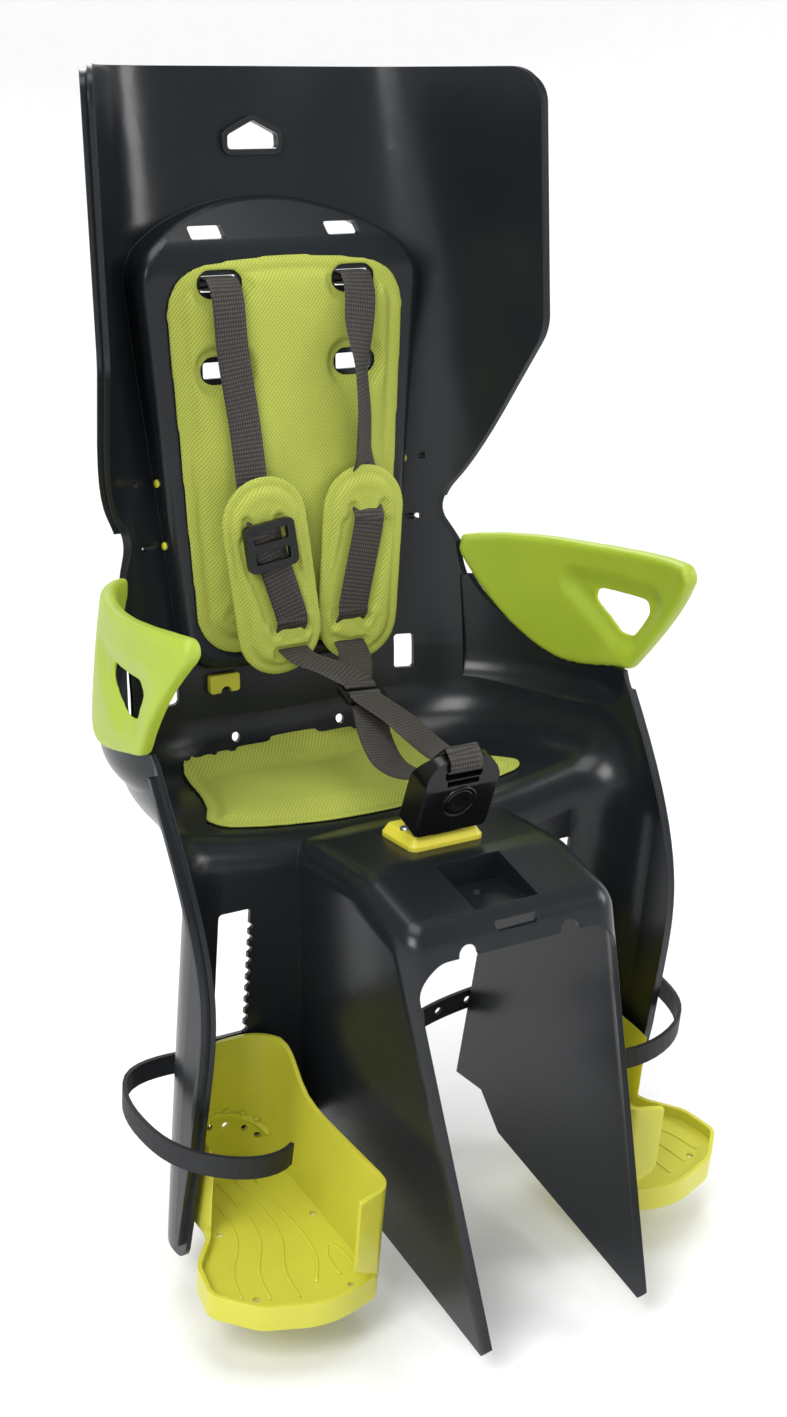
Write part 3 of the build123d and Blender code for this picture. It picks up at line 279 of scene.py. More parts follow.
# %% From a solid to a mesh of its own
def merged(solid, distance):
    """Bmesh of a solid whose loose triangles are joined."""
    form = bmesh.new()
    form.from_mesh(solid.data)
    bmesh.ops.remove_doubles(form, verts=form.verts, dist=distance)
    return form


def mesh_of(name, form):
    """Mesh from a bmesh, which is let go."""
    mesh = bpy.data.meshes.new(name)
    form.to_mesh(mesh)
    form.free()
    return mesh


def settle(piece):
    """Makes what a piece's modifiers show its own mesh."""
    shown = piece.evaluated_get(bpy.context.evaluated_depsgraph_get())
    piece.data = bpy.data.meshes.new_from_object(shown)
    piece.data.name = piece.name
    piece.modifiers.clear()


def stand_in(piece, node, finish):
    """Puts a finished piece in the place of a node, on the same body."""
    piece.data.materials.clear()
    piece.data.materials.append(finish)
    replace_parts(piece, node)
    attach(piece, body_of[node])


print("faces of a handle's solid:", len(nodes["handle_left"].data.polygons))

# %% [markdown]
# Voxel remesh gives squares of one size, but with tiny steps. Each round of smoothing moves every vertex
# halfway to the middle of its neighbours, and a few rounds take the steps away.

# %% An even skin for a solid
MERGE = 0.01 * MM


def smooth(form):
    """Moves every vertex halfway to the middle of its neighbours."""
    bmesh.ops.smooth_vert(form, verts=form.verts, factor=0.5, use_axis_x=True, use_axis_y=True,
                          use_axis_z=True)


def even_skin(name, solid, voxel_mm, rounds):
    """New object and bmesh with an even skin of small squares over a solid, smoothed a few times."""
    piece = in_scene(name, mesh_of(name, merged(solid, MERGE)))
    remesh = piece.modifiers.new("even skin", "REMESH")
    remesh.mode = "VOXEL"
    remesh.voxel_size = voxel_mm * MM
    settle(piece)
    form = bmesh.new()
    form.from_mesh(piece.data)
    for _ in range(rounds):
        smooth(form)
    form.normal_update()
    return piece, form


print("points closer than", MERGE / MM, "mm are joined before a remesh")

# %% [markdown]
# The hole is a triangle with a blunt lower corner, so the distance from it is measured to four straight
# sides. The pressing fades out with the distance in a smooth step, and both faces of the cap move towards
# the middle.

# %% Dish the handles
CAP_T = 12.5 * MM
DISH_REACH = 17.0 * MM
DISH_DEPTH = 9.5 * MM
INNER_SHARE = 0.5
OUTWARD = 0.85
GRIP_VOXEL_MM = 1.8
GRIP_ROUNDS = 4
HOLE = [Vector((y, z)) * MM for y, z in ((153, 155), (72, 156), (95, 126), (110, 126))]


def hole_distance(spot):
    """Distance of a point, given by depth and height, from the edge of the finger hole."""
    distances = [DISH_REACH]
    for a, b in zip(HOLE, HOLE[1:] + HOLE[:1]):
        share = min(max((spot - a).dot(b - a) / (b - a).length_squared, 0.0), 1.0)
        distances.append((spot - a.lerp(b, share)).length)
    return min(distances)


def dished_handle(name, node, side):
    """Handle with an even skin and a dish round its finger hole."""
    piece, form = even_skin(name, nodes[node], GRIP_VOXEL_MM, GRIP_ROUNDS)
    outer = [vert.co.copy() for vert in form.verts if vert.normal.x * side > OUTWARD]
    face = KDTree(len(outer))
    for i, spot in enumerate(outer):
        face.insert((0, spot.y, spot.z), i)
    face.balance()
    for vert in form.verts:
        index = face.find((0, vert.co.y, vert.co.z))[1]
        depth = (outer[index].x - vert.co.x) * side / CAP_T
        near = 1 - hole_distance(vert.co.yz) / DISH_REACH
        press = near * near * (3 - 2 * near)
        vert.co.x -= side * DISH_DEPTH * press * (1 - INNER_SHARE - min(max(depth, 0.0), 1.0))
    smooth(form)
    form.to_mesh(piece.data)
    form.free()
    piece.data.shade_smooth()
    stand_in(piece, node, handle_finish)
    print(name, "faces", len(piece.data.polygons))


dished_handle("armrest_grip_left", "handle_left", 1)
dished_handle("armrest_grip_right", "handle_right", -1)

# %% [markdown]
# ## Harness webbing
# Webbing is a dense flat weave: thick weft ribs run straight across, and brown-black yarns pass over
# them. Up close it reads as pale dashes in even rows, drawn here a little coarser than they are so that
# they show. A strap bends along its length only, so it is made by pushing one flat section along a curve
# through a few points. Two numbers are stored at every vertex, the distance along the strap and across
# it, so that the ribs follow every bend and twist.

# %% Polypropylene webbing
RIB_MM = 3.0
YARN_MM = 1.9
FUZZ_MM = 1.5
RIB_DEPTH_MM = 0.35
# At a scale of 1, a wave texture repeats after this length.
WAVE_PERIOD = math.pi / 10

web_finish, tree, shader = new_finish("polypropylene_webbing_brown_black")
along = put(tree, "Attribute", attribute_name="along").outputs["Fac"]
across = put(tree, "Attribute", attribute_name="across").outputs["Fac"]
flat = put(tree, "CombineXYZ", {"X": along, "Y": across}).outputs["Vector"]
ribs = put(tree, "TexWave", {"Vector": flat, "Scale": WAVE_PERIOD / (RIB_MM * MM)}, bands_direction="X")
yarns = put(tree, "TexWave", {"Vector": flat, "Scale": WAVE_PERIOD / (YARN_MM * MM)}, bands_direction="Y")
fuzz = put(tree, "TexNoise", {"Vector": flat, "Scale": 1 / (FUZZ_MM * MM), "Detail": 2.0})
dashes = put(tree, "Math", {0: ribs.outputs["Fac"], 1: yarns.outputs["Fac"]}, operation="MULTIPLY")
worn = put(tree, "Math", {0: dashes.outputs["Value"], 1: fuzz.outputs["Fac"]}, operation="MULTIPLY")
tone = two_tones(tree, worn.outputs["Value"], linear("#0e0c0b"), linear("#6b6159"))
bump = put(tree, "Bump", {"Height": dashes.outputs["Value"], "Strength": 0.6, "Distance": RIB_DEPTH_MM * MM})
fill(tree, shader, {"Base Color": tone, "Normal": bump.outputs["Normal"], "Roughness": 0.62,
                    "Sheen Weight": 0.05})
print("made", web_finish.name)

# %% [markdown]
# A strap needs a smooth course. A Catmull-Rom curve passes through every point without any handles to
# set.

# %% A smooth course
STEPS_PER_SPAN = 6


def course(points):
    """Closely spaced points of the Catmull-Rom curve through the given ones."""
    ends = [2 * points[0] - points[1]] + points + [2 * points[-1] - points[-2]]
    line = []
    for a, b, c, d in zip(ends, ends[1:], ends[2:], ends[3:]):
        for step in range(STEPS_PER_SPAN):
            t = step / STEPS_PER_SPAN
            line.append(0.5 * (2 * b + (c - a) * t + (2 * a - 5 * b + 4 * c - d) * t**2
                               + (3 * b - a - 3 * c + d) * t**3))
    return line + [points[-1]]


print("steps between two points:", STEPS_PER_SPAN)

# %% [markdown]
# Along that course goes a flat section with round edges. Its flat side starts out along the seat's width
# and is turned by a twist angle where the real strap has one.

# %% Push a flat section along a course
WEB_W = 25.0 * MM
WEB_T = 1.5 * MM
# Points round the section, as shares of its width and thickness.
SECTION = [(-0.5, 0.0), (-0.47, 0.42), (-0.3, 0.5), (0.0, 0.5), (0.3, 0.5), (0.47, 0.42),
           (0.5, 0.0), (0.47, -0.42), (0.3, -0.5), (0.0, -0.5), (-0.3, -0.5), (-0.47, -0.42)]


def sweep(form, line, width, thick, twists=((0, 0), (1, 0))):
    """Adds a flat section along a line, its flat side turned by twists of (share of length, degrees)."""
    lengths = [0.0]
    for a, b in zip(line, line[1:]):
        lengths.append(lengths[-1] + (b - a).length)
    along = form.verts.layers.float.get("along") or form.verts.layers.float.new("along")
    across = form.verts.layers.float.get("across") or form.verts.layers.float.new("across")
    rings = []
    for i, centre in enumerate(line):
        ahead = (line[min(i + 1, len(line) - 1)] - line[max(i - 1, 0)]).normalized()
        side = (Vector((1, 0, 0)) - ahead * ahead.x).normalized()
        share = lengths[i] / lengths[-1]
        for (share_a, turn_a), (share_b, turn_b) in zip(twists, twists[1:]):
            if share_a <= share <= share_b:
                blend = (share - share_a) / (share_b - share_a)
                turn = turn_a + (turn_b - turn_a) * blend * blend * (3 - 2 * blend)
        face = ahead.cross(side)
        turned = side * math.cos(math.radians(turn)) + face * math.sin(math.radians(turn))
        up = ahead.cross(turned)
        ring = []
        for u, v in SECTION:
            vert = form.verts.new(centre + turned * u * width + up * v * thick)
            vert[along] = lengths[i]
            vert[across] = u * width
            ring.append(vert)
        rings.append([form.edges.new((ring[k - 1], ring[k])) for k in range(len(ring))])
    for a, b in zip(rings, rings[1:]):
        bmesh.ops.bridge_loops(form, edges=a + b)
    for cap in (rings[0], rings[-1]):
        bmesh.ops.contextual_create(form, geom=cap)
    bmesh.ops.recalc_face_normals(form, faces=form.faces)
    return lengths[-1]


print("points of the section:", len(SECTION))

# %% [markdown]
# What is swept becomes an object that takes its body from the solid it belongs to. A strap also stands in
# for that solid.

# %% Finished pieces and straps
def finished(name, form, finish, node):
    """Object from a bmesh, with a finish and the body of a node."""
    mesh = mesh_of(name, form)
    mesh.shade_smooth()
    mesh.materials.append(finish)
    piece = in_scene(name, mesh)
    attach(piece, body_of[node])
    return piece


def strap(name, node, points_mm, twists=((0, 0), (1, 0))):
    """Webbing through the points, in place of a node."""
    form = bmesh.new()
    length = sweep(form, course([Vector(point) * MM for point in points_mm]), WEB_W, WEB_T, twists)
    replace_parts(finished(name, form, web_finish, node), node)
    print(name, "length", round(length / MM), "mm")


print("webbing:", round(WEB_W / MM), "mm wide and", round(WEB_T / MM, 1), "mm thick")

# %% [markdown]
# The points below are the courses of the four straps in millimetres. Each shoulder strap leaves the
# slider, passes through its pad by two slits, rises to the upper belt slot and loops round a steel bar
# behind it. The left one has turned partly on edge above its pad, as a strap does after a child has been
# lifted out.

# %% The four straps
BAR_LOOP = [(250.9, 381.1), (257.9, 383.1), (263.9, 383.1), (267.4, 381.1), (267.4, 376.9), (263.9, 374.9),
            (257.9, 374.9), (251.9, 375.4)]
SLOT_X = 53.7
LEFT_COURSE = [(10.0, 172.9, 91.2), (10.0, 181.2, 94.8), (20, 197, 100), (34, 222, 106), (37.3, 242.6, 118.6),
               (37.9, 237, 126.6), (38.4, 231.4, 134.6), (39, 231.4, 142.6), (45.5, 231.4, 171.2),
               (52, 231.4, 199.8), (52.6, 231.4, 207.8), (53.1, 237, 215.8), (53.7, 242.6, 223.7),
               (54.2, 242.9, 230.7), (51, 236, 258), (49, 231.5, 286), (47, 232, 318), (49, 238, 345),
               (52.5, 243.2, 368)]
RIGHT_COURSE = [(10.0, 170.7, 96.4), (10.0, 179.0, 99.9), (-2, 196, 107), (-14, 214, 112),
                (-16, 233.2, 120.5), (-17, 227.6, 128.5), (-18.1, 222, 136.4), (-19.2, 222, 144.3),
                (-28.5, 222, 172.3), (-37.9, 222, 200.3), (-38.9, 222, 208.3), (-40, 227.6, 216.2),
                (-41.1, 233.2, 224.1), (-42, 233.5, 231.1), (-44, 240.5, 280), (-51, 242, 330),
                (-53.5, 243.2, 368)]
UPPER_CROTCH = [(10.0, 167.1, 94.8), (10.0, 158.8, 91.2), (17, 130, 83), (21, 100, 73), (15, 66, 74),
                (5, 40, 86), (0, 23, 95.5), (0, 17.8, 91.2), (0, 15, 87.3), (0, 15.7, 80.9),
                (0, 21.4, 79.3), (0, 27, 81.4)]
LOWER_CROTCH = [(10.0, 169.3, 89.6), (10.0, 161, 86.1), (-2, 130, 72), (-8, 100, 62), (-6, 70, 62),
                (-1, 46, 71), (0, 27.4, 90.9), (0, 31.9, 85.7)]
LEFT_TWISTS = ((0, 0), (0.5, 0), (0.58, 36), (0.72, 42), (0.84, 0), (1, 0))

strap("shoulder_webbing_left", "shoulder_strap_left", LEFT_COURSE + [(SLOT_X, *p) for p in BAR_LOOP],
      twists=LEFT_TWISTS)
strap("shoulder_webbing_right", "shoulder_strap_right", RIGHT_COURSE + [(-SLOT_X, *p) for p in BAR_LOOP])
strap("crotch_webbing_upper", "crotch_strap_left", UPPER_CROTCH)
strap("crotch_webbing_lower", "crotch_strap_right", LOWER_CROTCH)

# %% [markdown]
# ## Trimmed trays and the buckle's window
# The inner wall of a tray falls from the heel in one smooth curve, and the head of the buckle has a
# narrow window. Both are cuts through a solid, so a Boolean modifier takes a small knife away from a
# merged copy, and the result stands in for the solid. A round bead rings the buckle's button.

# %% Cut a solid with a knife
SHARP_FROM = math.radians(32)
FINE_MERGE = 0.005 * MM


def trimmed(name, node, knife_form, finish):
    """Copy of a solid with a knife taken away, in place of the node."""
    mesh = mesh_of(name, merged(nodes[node], FINE_MERGE))
    # The normals that came with the solid don't fit the cut faces.
    if mesh.attributes.get("custom_normal"):
        mesh.attributes.remove(mesh.attributes["custom_normal"])
    bmesh.ops.recalc_face_normals(knife_form, faces=knife_form.faces)
    knife = in_scene("knife", mesh_of("knife", knife_form))
    piece = in_scene(name, mesh)
    cut = piece.modifiers.new("cut", "BOOLEAN")
    cut.operation = "DIFFERENCE"
    cut.solver = "EXACT"
    cut.object = knife
    settle(piece)
    bpy.data.objects.remove(knife)
    piece.data.shade_smooth()
    piece.data.set_sharp_from_angle(angle=SHARP_FROM)
    stand_in(piece, node, finish)
    print(name, "faces", len(piece.data.polygons), "instead of", len(nodes[node].data.polygons))


print("edges stay sharp from", round(math.degrees(SHARP_FROM)), "degrees")

# %% [markdown]
# The trays hang on the leaning calf panels, so the knife is drawn in their leaning frame: the curve of
# the wall's upper edge is closed above it, and the face between is pushed through the wall.

# %% Trim the trays
CALF_LEAN = math.atan(0.148)
TRAY_FRAME = Matrix.Translation(Vector((0, 124.78, -220)) * MM) @ Matrix.Rotation(CALF_LEAN, 4, "X")
# Depth and height in the tray's frame, in millimetres.
WALL_CURVE = ((-13, 103), (-22, 98.5), (-32, 90), (-42, 81.5), (-52, 76), (-64, 74), (-78, 74), (-91, 74.9))
WALL_X_MM = (92, 108)
ABOVE_WALL_MM = 130

for side, hand in ((1, "left"), (-1, "right")):
    form = bmesh.new()
    outline = WALL_CURVE + ((WALL_CURVE[-1][0], ABOVE_WALL_MM), (WALL_CURVE[0][0], ABOVE_WALL_MM))
    corners = [form.verts.new(TRAY_FRAME @ (Vector((side * WALL_X_MM[0], y, z)) * MM)) for y, z in outline]
    face = bmesh.ops.contextual_create(form, geom=corners)["faces"]
    moved = bmesh.ops.extrude_face_region(form, geom=face)["geom"]
    shift = Vector((side * (WALL_X_MM[1] - WALL_X_MM[0]), 0, 0)) * MM
    far_side = [item for item in moved if isinstance(item, bmesh.types.BMVert)]
    bmesh.ops.translate(form, vec=shift, verts=far_side)
    trimmed(f"tray_{hand}", f"footrest_{hand}", form, footrest_finish)

# %% [markdown]
# The buckle leans too. Its window is a stretched cube in the buckle's frame, and the ring is a small
# circle that is spun round the axis of the button.

# %% The buckle's window and the ring of its button
BUCKLE_LEAN = math.radians(23.57)
BUCKLE_FRAME = Matrix.Translation(Vector((0, 43.3, 34.0)) * MM) @ Matrix.Rotation(BUCKLE_LEAN, 4, "X")
WINDOW_MM = Vector((25.0, 60.0, 3.6))
WINDOW_S = 44.2 * MM
RING_R = 12.0 * MM
RING_BEAD_R = 1.1 * MM
BUCKLE_FRONT = 8.5 * MM
BUTTON_S = 28.0 * MM

form = bmesh.new()
bmesh.ops.create_cube(form, size=MM)
bmesh.ops.scale(form, vec=WINDOW_MM, verts=form.verts)
bmesh.ops.translate(form, vec=(0, 0, WINDOW_S), verts=form.verts)
bmesh.ops.transform(form, matrix=BUCKLE_FRAME, verts=form.verts)
trimmed("buckle_housing", "buckle_body", form, nylon_finish)

form = bmesh.new()
bead = bmesh.ops.create_circle(form, segments=12, radius=RING_BEAD_R)["verts"]
bmesh.ops.translate(form, vec=(RING_R, -BUCKLE_FRONT, 0), verts=bead)
bmesh.ops.spin(form, geom=form.verts[:] + form.edges[:], axis=(0, 1, 0), cent=(0, 0, 0), steps=48,
               angle=2 * math.pi, use_merge=True)
bmesh.ops.translate(form, vec=(0, 0, BUTTON_S), verts=form.verts)
bmesh.ops.transform(form, matrix=BUCKLE_FRAME, verts=form.verts)
bmesh.ops.recalc_face_normals(form, faces=form.faces)
finished("button_ring", form, nylon_finish, "buckle_body")
print("buckle dressed")

# %% [markdown]
# ## Relief of the footrests
# Flowing beads stand up from the floor of each tray, and a rim with short teeth arches over the row of
# holes at the heel. They are thin, so they are swept along curves as the straps are. A ray that is cast
# at the tray finds the surface under each point, and that lays a bead on the floor or the heel wall
# however the tray slopes.

# %% Beads and heel rims
BEAD_W = 2.0 * MM
BEAD_T = 1.5 * MM
RIM_W = 5.0 * MM
RIM_T = 4.0 * MM
TOOTH_MM = (5.0, 4.0, 3.5)
TOOTH_RISE = 3.5 * MM
OVER_FLOOR_MM = -100
BEFORE_HEEL_MM = 60
# Points of the beads, by x and y, and of the rim, by x and z, in millimetres on the left tray.
FLOOR_BEADS = (
    ((163, 97), (160, 69), (165, 39), (182, 11), (188, -13)),
    ((150, 99), (147, 67), (150, 35), (166, 5), (171, -21)),
    ((137, 99), (134, 65), (136, 31), (149, 1), (153, -27)),
    ((124, 93), (123, 61), (121, 29), (124, 3), (136, -19)),
    ((118, -19), (117, -1), (110, 11), (105, -1), (106, -21)),
)
HEEL_RIM = ((104, -201), (111, -193), (121, -187), (134, -182), (148, -179), (160, -180))


def surface_of(node):
    """Search tree over a solid's faces, for the nearest point or the first hit of a ray."""
    mesh = nodes[node].data
    return BVHTree.FromPolygons([v.co for v in mesh.vertices], [p.vertices for p in mesh.polygons])


def relief(name, node, side):
    """Beads on a tray's floor and a toothed rim on its heel wall."""
    tray = surface_of(node)
    form = bmesh.new()
    for bead in FLOOR_BEADS:
        starts = [Vector((side * x, y, OVER_FLOOR_MM)) * MM for x, y in bead]
        spots = [tray.ray_cast(start, Vector((0, 0, -1)))[0] for start in starts]
        sweep(form, course(spots), BEAD_W, BEAD_T)
    starts = [Vector((side * x, BEFORE_HEEL_MM, z)) * MM for x, z in HEEL_RIM]
    rim = [tray.ray_cast(start, Vector((0, 1, 0)))[0] for start in starts]
    sweep(form, course(rim), RIM_W, RIM_T)
    for spot in rim[1:-1]:
        tooth = bmesh.ops.create_cube(form, size=MM)["verts"]
        bmesh.ops.scale(form, vec=TOOTH_MM, verts=tooth)
        bmesh.ops.translate(form, vec=spot + Vector((0, 0, TOOTH_RISE)), verts=tooth)
    finished(name, form, footrest_finish, node)
    print(name, "on", node, "rim at", [tuple(round(v / MM) for v in spot) for spot in rim[:2]])


relief("tray_relief_left", "footrest_left", 1)
relief("tray_relief_right", "footrest_right", -1)

# %% [markdown]
# ## Pad fabric
# The pads are foam between two layers of lime polyester, welded flat along the border. The cloth is a
# diagonal mesh: tiny raised crossings with pits between them, and the pits are painted darker as painted
# shade. The real mesh is finer than a pixel, so it is drawn a little coarser here. The pattern lies in each
# pad's own plane, from two numbers stored at its vertices.

# %% Polyester mesh fabric
MESH_MM = 2.2
MESH_DEPTH_MM = 0.3
WEFT_SHARE = 0.8
BIAS = math.radians(40)
FADE_MM = 30.0

cloth_finish, tree, shader = new_finish("polyester_mesh_lime")
across = put(tree, "Attribute", attribute_name="across").outputs["Fac"]
along = put(tree, "Attribute", attribute_name="along").outputs["Fac"]
flat = put(tree, "CombineXYZ", {"X": across, "Y": along}).outputs["Vector"]
bias = put(tree, "Mapping", {"Vector": flat, "Rotation": (0, 0, BIAS)}).outputs["Vector"]
warp = put(tree, "TexWave", {"Vector": bias, "Scale": WAVE_PERIOD / (MESH_MM * MM)}, bands_direction="X")
weft = put(tree, "TexWave", {"Vector": bias, "Scale": WAVE_PERIOD / (WEFT_SHARE * MESH_MM * MM)},
           bands_direction="Y")
mesh_height = put(tree, "Math", {0: warp.outputs["Fac"], 1: weft.outputs["Fac"]}, operation="MAXIMUM")
fade = put(tree, "TexNoise", {"Vector": flat, "Scale": 1 / (FADE_MM * MM), "Detail": 3.0})
thread = two_tones(tree, fade.outputs["Fac"], linear("#a3ac42"), linear("#aeb74c"))
# The low pits of the mesh are painted darker than the crossings: painted shade in the recesses.
tone = two_tones(tree, mesh_height.outputs["Value"], linear("#727a2c"), thread)
bump = put(tree, "Bump", {"Height": mesh_height.outputs["Value"], "Strength": 0.45,
                          "Distance": MESH_DEPTH_MM * MM})
fill(tree, shader, {"Base Color": tone, "Normal": bump.outputs["Normal"], "Roughness": 0.8,
                    "Sheen Weight": 0.25, "Sheen Tint": linear("#d8e07a")})
print("made", cloth_finish.name)

# %% [markdown]
# ## From solids to pads
# A pad starts as its plain solid. Its copy is cut into an even skin of small squares, the outline is
# pressed flat as a weld presses it, and then cloth simulation blows the foam up between the welds. Two
# questions are answered at every vertex: how far it is from a cut edge, and how far it stands off
# whatever it lies on. The first comes from points spread along the upright walls of the solid, the second
# from the nearest point of the shell or, for the shoulder pads, from their middle plane.

# %% Where a pad's vertices lie
SEAT_GAP = 0.3 * MM
WALL_STEP = 1.5 * MM
HOLE_REACH_MM = 22.0
UPRIGHT = 0.4

shell_surface = surface_of("seat_shell")


def on_shell(point):
    """Direction away from the shell at a point, and its height above the seating gap."""
    foot, _, _, height = shell_surface.find_nearest(point)
    return (point - foot).normalized(), max(height - SEAT_GAP, 0.0)


def on_plane(depth):
    """The same for a pad that hangs upright, measured from its middle plane."""
    def stand(point):
        return Vector((0, 1 if point.y > depth else -1, 0)), abs(point.y - depth)
    return stand


def wall_points(solid, stand, holes_mm):
    """Points spread along the upright walls of a pad's solid, those of its outline and those of its holes."""
    outline, rims = [], []
    for face in solid.data.polygons:
        away = stand(face.center)[0]
        if abs(face.normal.dot(away)) < UPRIGHT:
            spot = face.center.xz / MM
            near = any((spot - Vector(hole)).length < HOLE_REACH_MM for hole in holes_mm)
            spots = rims if near else outline
            corners = [solid.data.vertices[i].co for i in face.vertices]
            for a, b in zip(corners, corners[1:] + corners[:1]):
                count = int((b - a).length / WALL_STEP) + 1
                spots += [a.lerp(b, k / count) for k in range(count)]
    trees = []
    for spots in (outline, rims):
        tree = KDTree(len(spots))
        for i, spot in enumerate(spots):
            tree.insert(spot, i)
        tree.balance()
        trees.append(tree)
    return trees


print("shell faces to lie on:", len(nodes["seat_shell"].data.polygons))

# %% [markdown]
# The thickness across a welded edge has a typical course: a thin flat border, a groove where the weld
# bites, and a round rise to the full foam. It is given as a few pairs of edge distance and share of the
# full thickness, with smooth steps between them.

# %% Thickness across a weld
BACK_WELD = ((0.0, 0.34), (7.5, 0.40), (9.5, 0.26), (17.0, 0.92), (26.0, 1.0))
SEAT_WELD = ((0.0, 0.30), (5.0, 0.38), (7.0, 0.26), (15.0, 0.90), (24.0, 1.0))
STRAP_PAD_WELD = ((0.0, 0.34), (4.5, 0.40), (6.5, 0.28), (10.5, 0.96), (14.0, 1.0), (19.0, 0.84),
                  (30.0, 0.86))


def share_at(weld, distance):
    """Share of the full thickness at a distance from the cut edge."""
    for (low, share_a), (high, share_b) in zip(weld, weld[1:]):
        if distance < high * MM:
            blend = (distance / MM - low) / (high - low)
            return share_a + (share_b - share_a) * blend * blend * (3 - 2 * blend)
    return weld[-1][1]


print("share of the back pad's thickness 10 mm from its edge:", round(share_at(BACK_WELD, 10 * MM), 2))

# %% [markdown]
# Each pad is skinned and pressed in one go. The border and the underside are put into a vertex group,
# which the simulation will hold. The welds round the holes are narrower than those of the outline, so
# distances from a hole count for more.

# %% Press the welds and make the skin
COLLAR_TIGHTER = 2.2
WELD_HELD = 9.0 * MM
BASE_HELD = 1.0 * MM
PAD_ROUNDS = 2
CUSHION_VOXEL_MM = 2.5
STRAP_PAD_VOXEL_MM = 1.8
LEFT_PAD_Y = 237.0 * MM
RIGHT_PAD_Y = 227.6 * MM
DEPTH_AXIS = 1
HEIGHT_AXIS = 2
BELT_HOLES = ((-SLOT_X, 378), (SLOT_X, 378), (-SLOT_X, 319), (SLOT_X, 319))
LEFT_SLITS = ((37.9, 126.6), (53.1, 215.8))
RIGHT_SLITS = ((-17.0, 128.5), (-40.0, 216.2))


def pad_skin(name, node, voxel_mm, weld, stand, long_axis, holes_mm=()):
    """Even skin of a pad with its welds pressed in, ready for the simulation."""
    solid = nodes[node]
    outline, rims = wall_points(solid, stand, holes_mm)
    piece, form = even_skin(name, solid, voxel_mm, PAD_ROUNDS)
    skin = piece.data
    layers = {label: form.verts.layers.float.new(label) for label in ("across", "along")}
    pins = []
    for vert in form.verts:
        distance = outline.find(vert.co)[2]
        if holes_mm:
            distance = min(distance, COLLAR_TIGHTER * rims.find(vert.co)[2])
        away, height = stand(vert.co)
        vert[layers["across"]] = vert.co.x
        vert[layers["along"]] = vert.co[long_axis]
        pins.append(distance < WELD_HELD or height < BASE_HELD)
        vert.co = vert.co - away * height * (1 - share_at(weld, distance))
    form.to_mesh(skin)
    form.free()
    skin.shade_smooth()
    held = piece.vertex_groups.new(name="held")
    held.add([i for i, pin in enumerate(pins) if pin], 1.0, "REPLACE")
    stand_in(piece, node, cloth_finish)
    print(name, "vertices", len(skin.vertices))
    return piece


PADS = [
    pad_skin("back_cushion", "back_pad", CUSHION_VOXEL_MM, BACK_WELD, on_shell, HEIGHT_AXIS, BELT_HOLES),
    pad_skin("seat_cushion", "seat_pad", CUSHION_VOXEL_MM, SEAT_WELD, on_shell, DEPTH_AXIS),
    pad_skin("shoulder_cushion_left", "shoulder_pad_left", STRAP_PAD_VOXEL_MM, STRAP_PAD_WELD,
             on_plane(LEFT_PAD_Y), HEIGHT_AXIS, LEFT_SLITS),
    pad_skin("shoulder_cushion_right", "shoulder_pad_right", STRAP_PAD_VOXEL_MM, STRAP_PAD_WELD,
             on_plane(RIGHT_PAD_Y), HEIGHT_AXIS, RIGHT_SLITS),
]

# %% [markdown]
# The simulation holds the welded border and the underside still, and blows the rest up like a balloon of
# cloth. A point may move about two millimetres at most, since real foam is held by its glue.

# %% Blow the foam up
PUFF_MM = 2.2
LAST_FRAME = 12
PRESSURE = 4.0
STEPS_PER_FRAME = 4
TINY = 1e-9

for piece in PADS:
    cloth = piece.modifiers.new("foam", "CLOTH")
    cloth.settings.vertex_group_mass = "held"
    cloth.settings.use_pressure = True
    cloth.settings.uniform_pressure_force = PRESSURE
    cloth.settings.effector_weights.gravity = 0.0
    cloth.settings.quality = STEPS_PER_FRAME
    cloth.point_cache.frame_end = LAST_FRAME
for frame_number in range(1, LAST_FRAME + 1):
    bpy.context.scene.frame_set(frame_number)
graph = bpy.context.evaluated_depsgraph_get()
for piece in PADS:
    blown = piece.evaluated_get(graph).data
    targets = [v.co.copy() for v in blown.vertices]
    piece.modifiers.clear()
    for vert, target in zip(piece.data.vertices, targets):
        move = target - vert.co
        vert.co += move * min(1.0, PUFF_MM * MM / max(move.length, TINY))
bpy.context.scene.frame_set(1)
for piece in PADS:
    finer = piece.modifiers.new("finer cloth", "SUBSURF")
    finer.levels = 1
    finer.render_levels = 1
print("pads:", [piece.name for piece in PADS])

# %% [markdown]
# ## Studio
# The seat was pictured on white. A wide dish, spun from one curve that runs flat and then turns up, is
# floor and backdrop in one piece, so there is no corner for a shadow line. It lies low enough for the
# footrests to slide down.

# %% Floor and backdrop
FLOOR_R = 1.6
RIM_R = 1.2
RIM_STEPS = 12
FIBRE_MM = 30.0
FOOTREST_DROP = 35.0 * MM
FLOOR_Z = min(cad_box[0][2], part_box("footrest_left")[0][2] - FOOTREST_DROP)

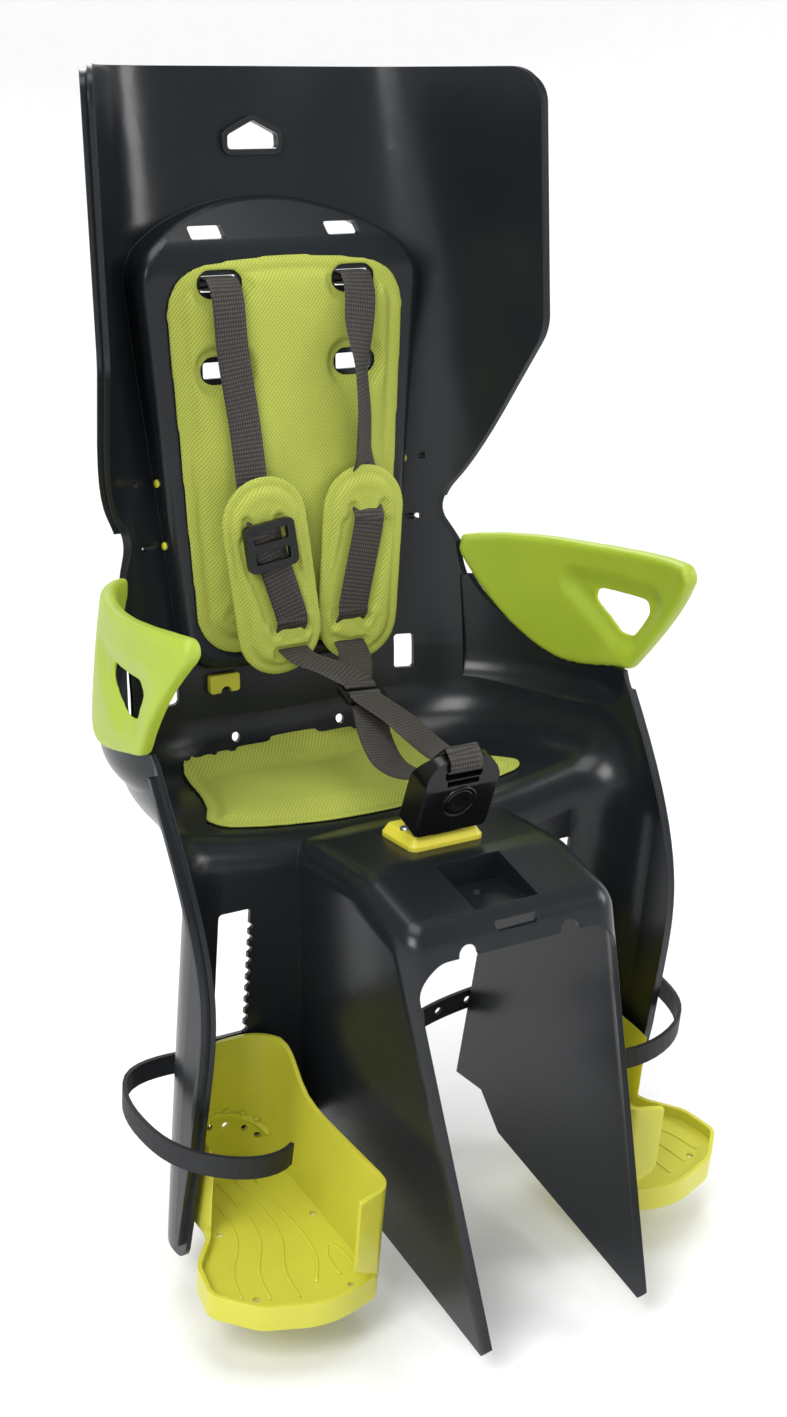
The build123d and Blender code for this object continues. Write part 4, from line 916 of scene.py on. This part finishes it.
dish = bmesh.new()
curve = [Vector((0, 0, FLOOR_Z)), Vector((FLOOR_R, 0, FLOOR_Z))]
for step in range(1, RIM_STEPS + 1):
    angle = math.radians(90 * step / RIM_STEPS)
    out, up = math.sin(angle), 1 - math.cos(angle)
    curve.append(Vector((FLOOR_R + RIM_R * out, 0, FLOOR_Z + RIM_R * up)))
points = [dish.verts.new(point) for point in curve]
lines = [dish.edges.new(pair) for pair in zip(points, points[1:])]
bmesh.ops.spin(dish, geom=points + lines, axis=(0, 0, 1), cent=(0, 0, 0), steps=64, angle=2 * math.pi,
               use_merge=True)
bmesh.ops.recalc_face_normals(dish, faces=dish.faces)
floor = in_scene("studio_floor", mesh_of("studio_floor", dish))
floor.data.shade_smooth()

# White paper: matt, with a faint fibre mottling.
paper_finish, tree, shader = new_finish("backdrop_paper_white")
place = put(tree, "TexCoord").outputs["Object"]
fibre = put(tree, "TexNoise", {"Vector": place, "Scale": 1 / (FIBRE_MM * MM), "Detail": 4.0})
tone = two_tones(tree, fibre.outputs["Fac"], linear("#f1f1f1"), linear("#f6f6f6"))
fill(tree, shader, {"Base Color": tone, "Roughness": 0.9})
floor.data.materials.append(paper_finish)
print("floor at", round(FLOOR_Z / MM), "mm")

# %% [markdown]
# Each lamp is a square of light that looks at the middle of the seat. The strongest stands at the upper
# left, and others at the right, behind and above. A large lamp close by gives soft shadows and long soft
# highlights, which is what makes rounded plastic read as round. The room itself is dim, so that the dark
# shell stays dark, but it looks white where the picture reaches past the backdrop.

# %% Lamps and world
AIM = Vector((0, 0.1, 0.1))
ROOM_LIGHT = 0.4
# Place, width and watts of each lamp.
LAMPS = {
    "key_lamp": ((-1.6, -1.1, 1.6), 1.1, 44.0),
    "fill_lamp": ((1.8, -0.7, 0.9), 0.8, 16.0),
    "back_lamp": ((0.6, 1.7, 1.6), 1.2, 22.0),
    "top_lamp": ((-0.1, 0.0, 2.2), 1.4, 24.0),
}
for name, (place, size, watts) in LAMPS.items():
    light = bpy.data.lights.new(name, "AREA")
    light.size = size
    light.energy = watts
    lamp = in_scene(name, light)
    lamp.location = place
    lamp.rotation_euler = (AIM - Vector(place)).to_track_quat("-Z", "Y").to_euler()

world = bpy.data.worlds.new("pale_room")
world.use_nodes = True
background = world.node_tree.nodes["Background"]
seen = put(world.node_tree, "LightPath").outputs["Is Camera Ray"]
strength = put(world.node_tree, "MapRange", {"Value": seen, "To Min": ROOM_LIGHT, "To Max": 1.0})
fill(world.node_tree, background, {"Color": linear("#fafbfc"), "Strength": strength.outputs["Result"]})
bpy.context.scene.world = world
bpy.context.scene.view_settings.view_transform = "Standard"
print("lamps:", len(LAMPS))
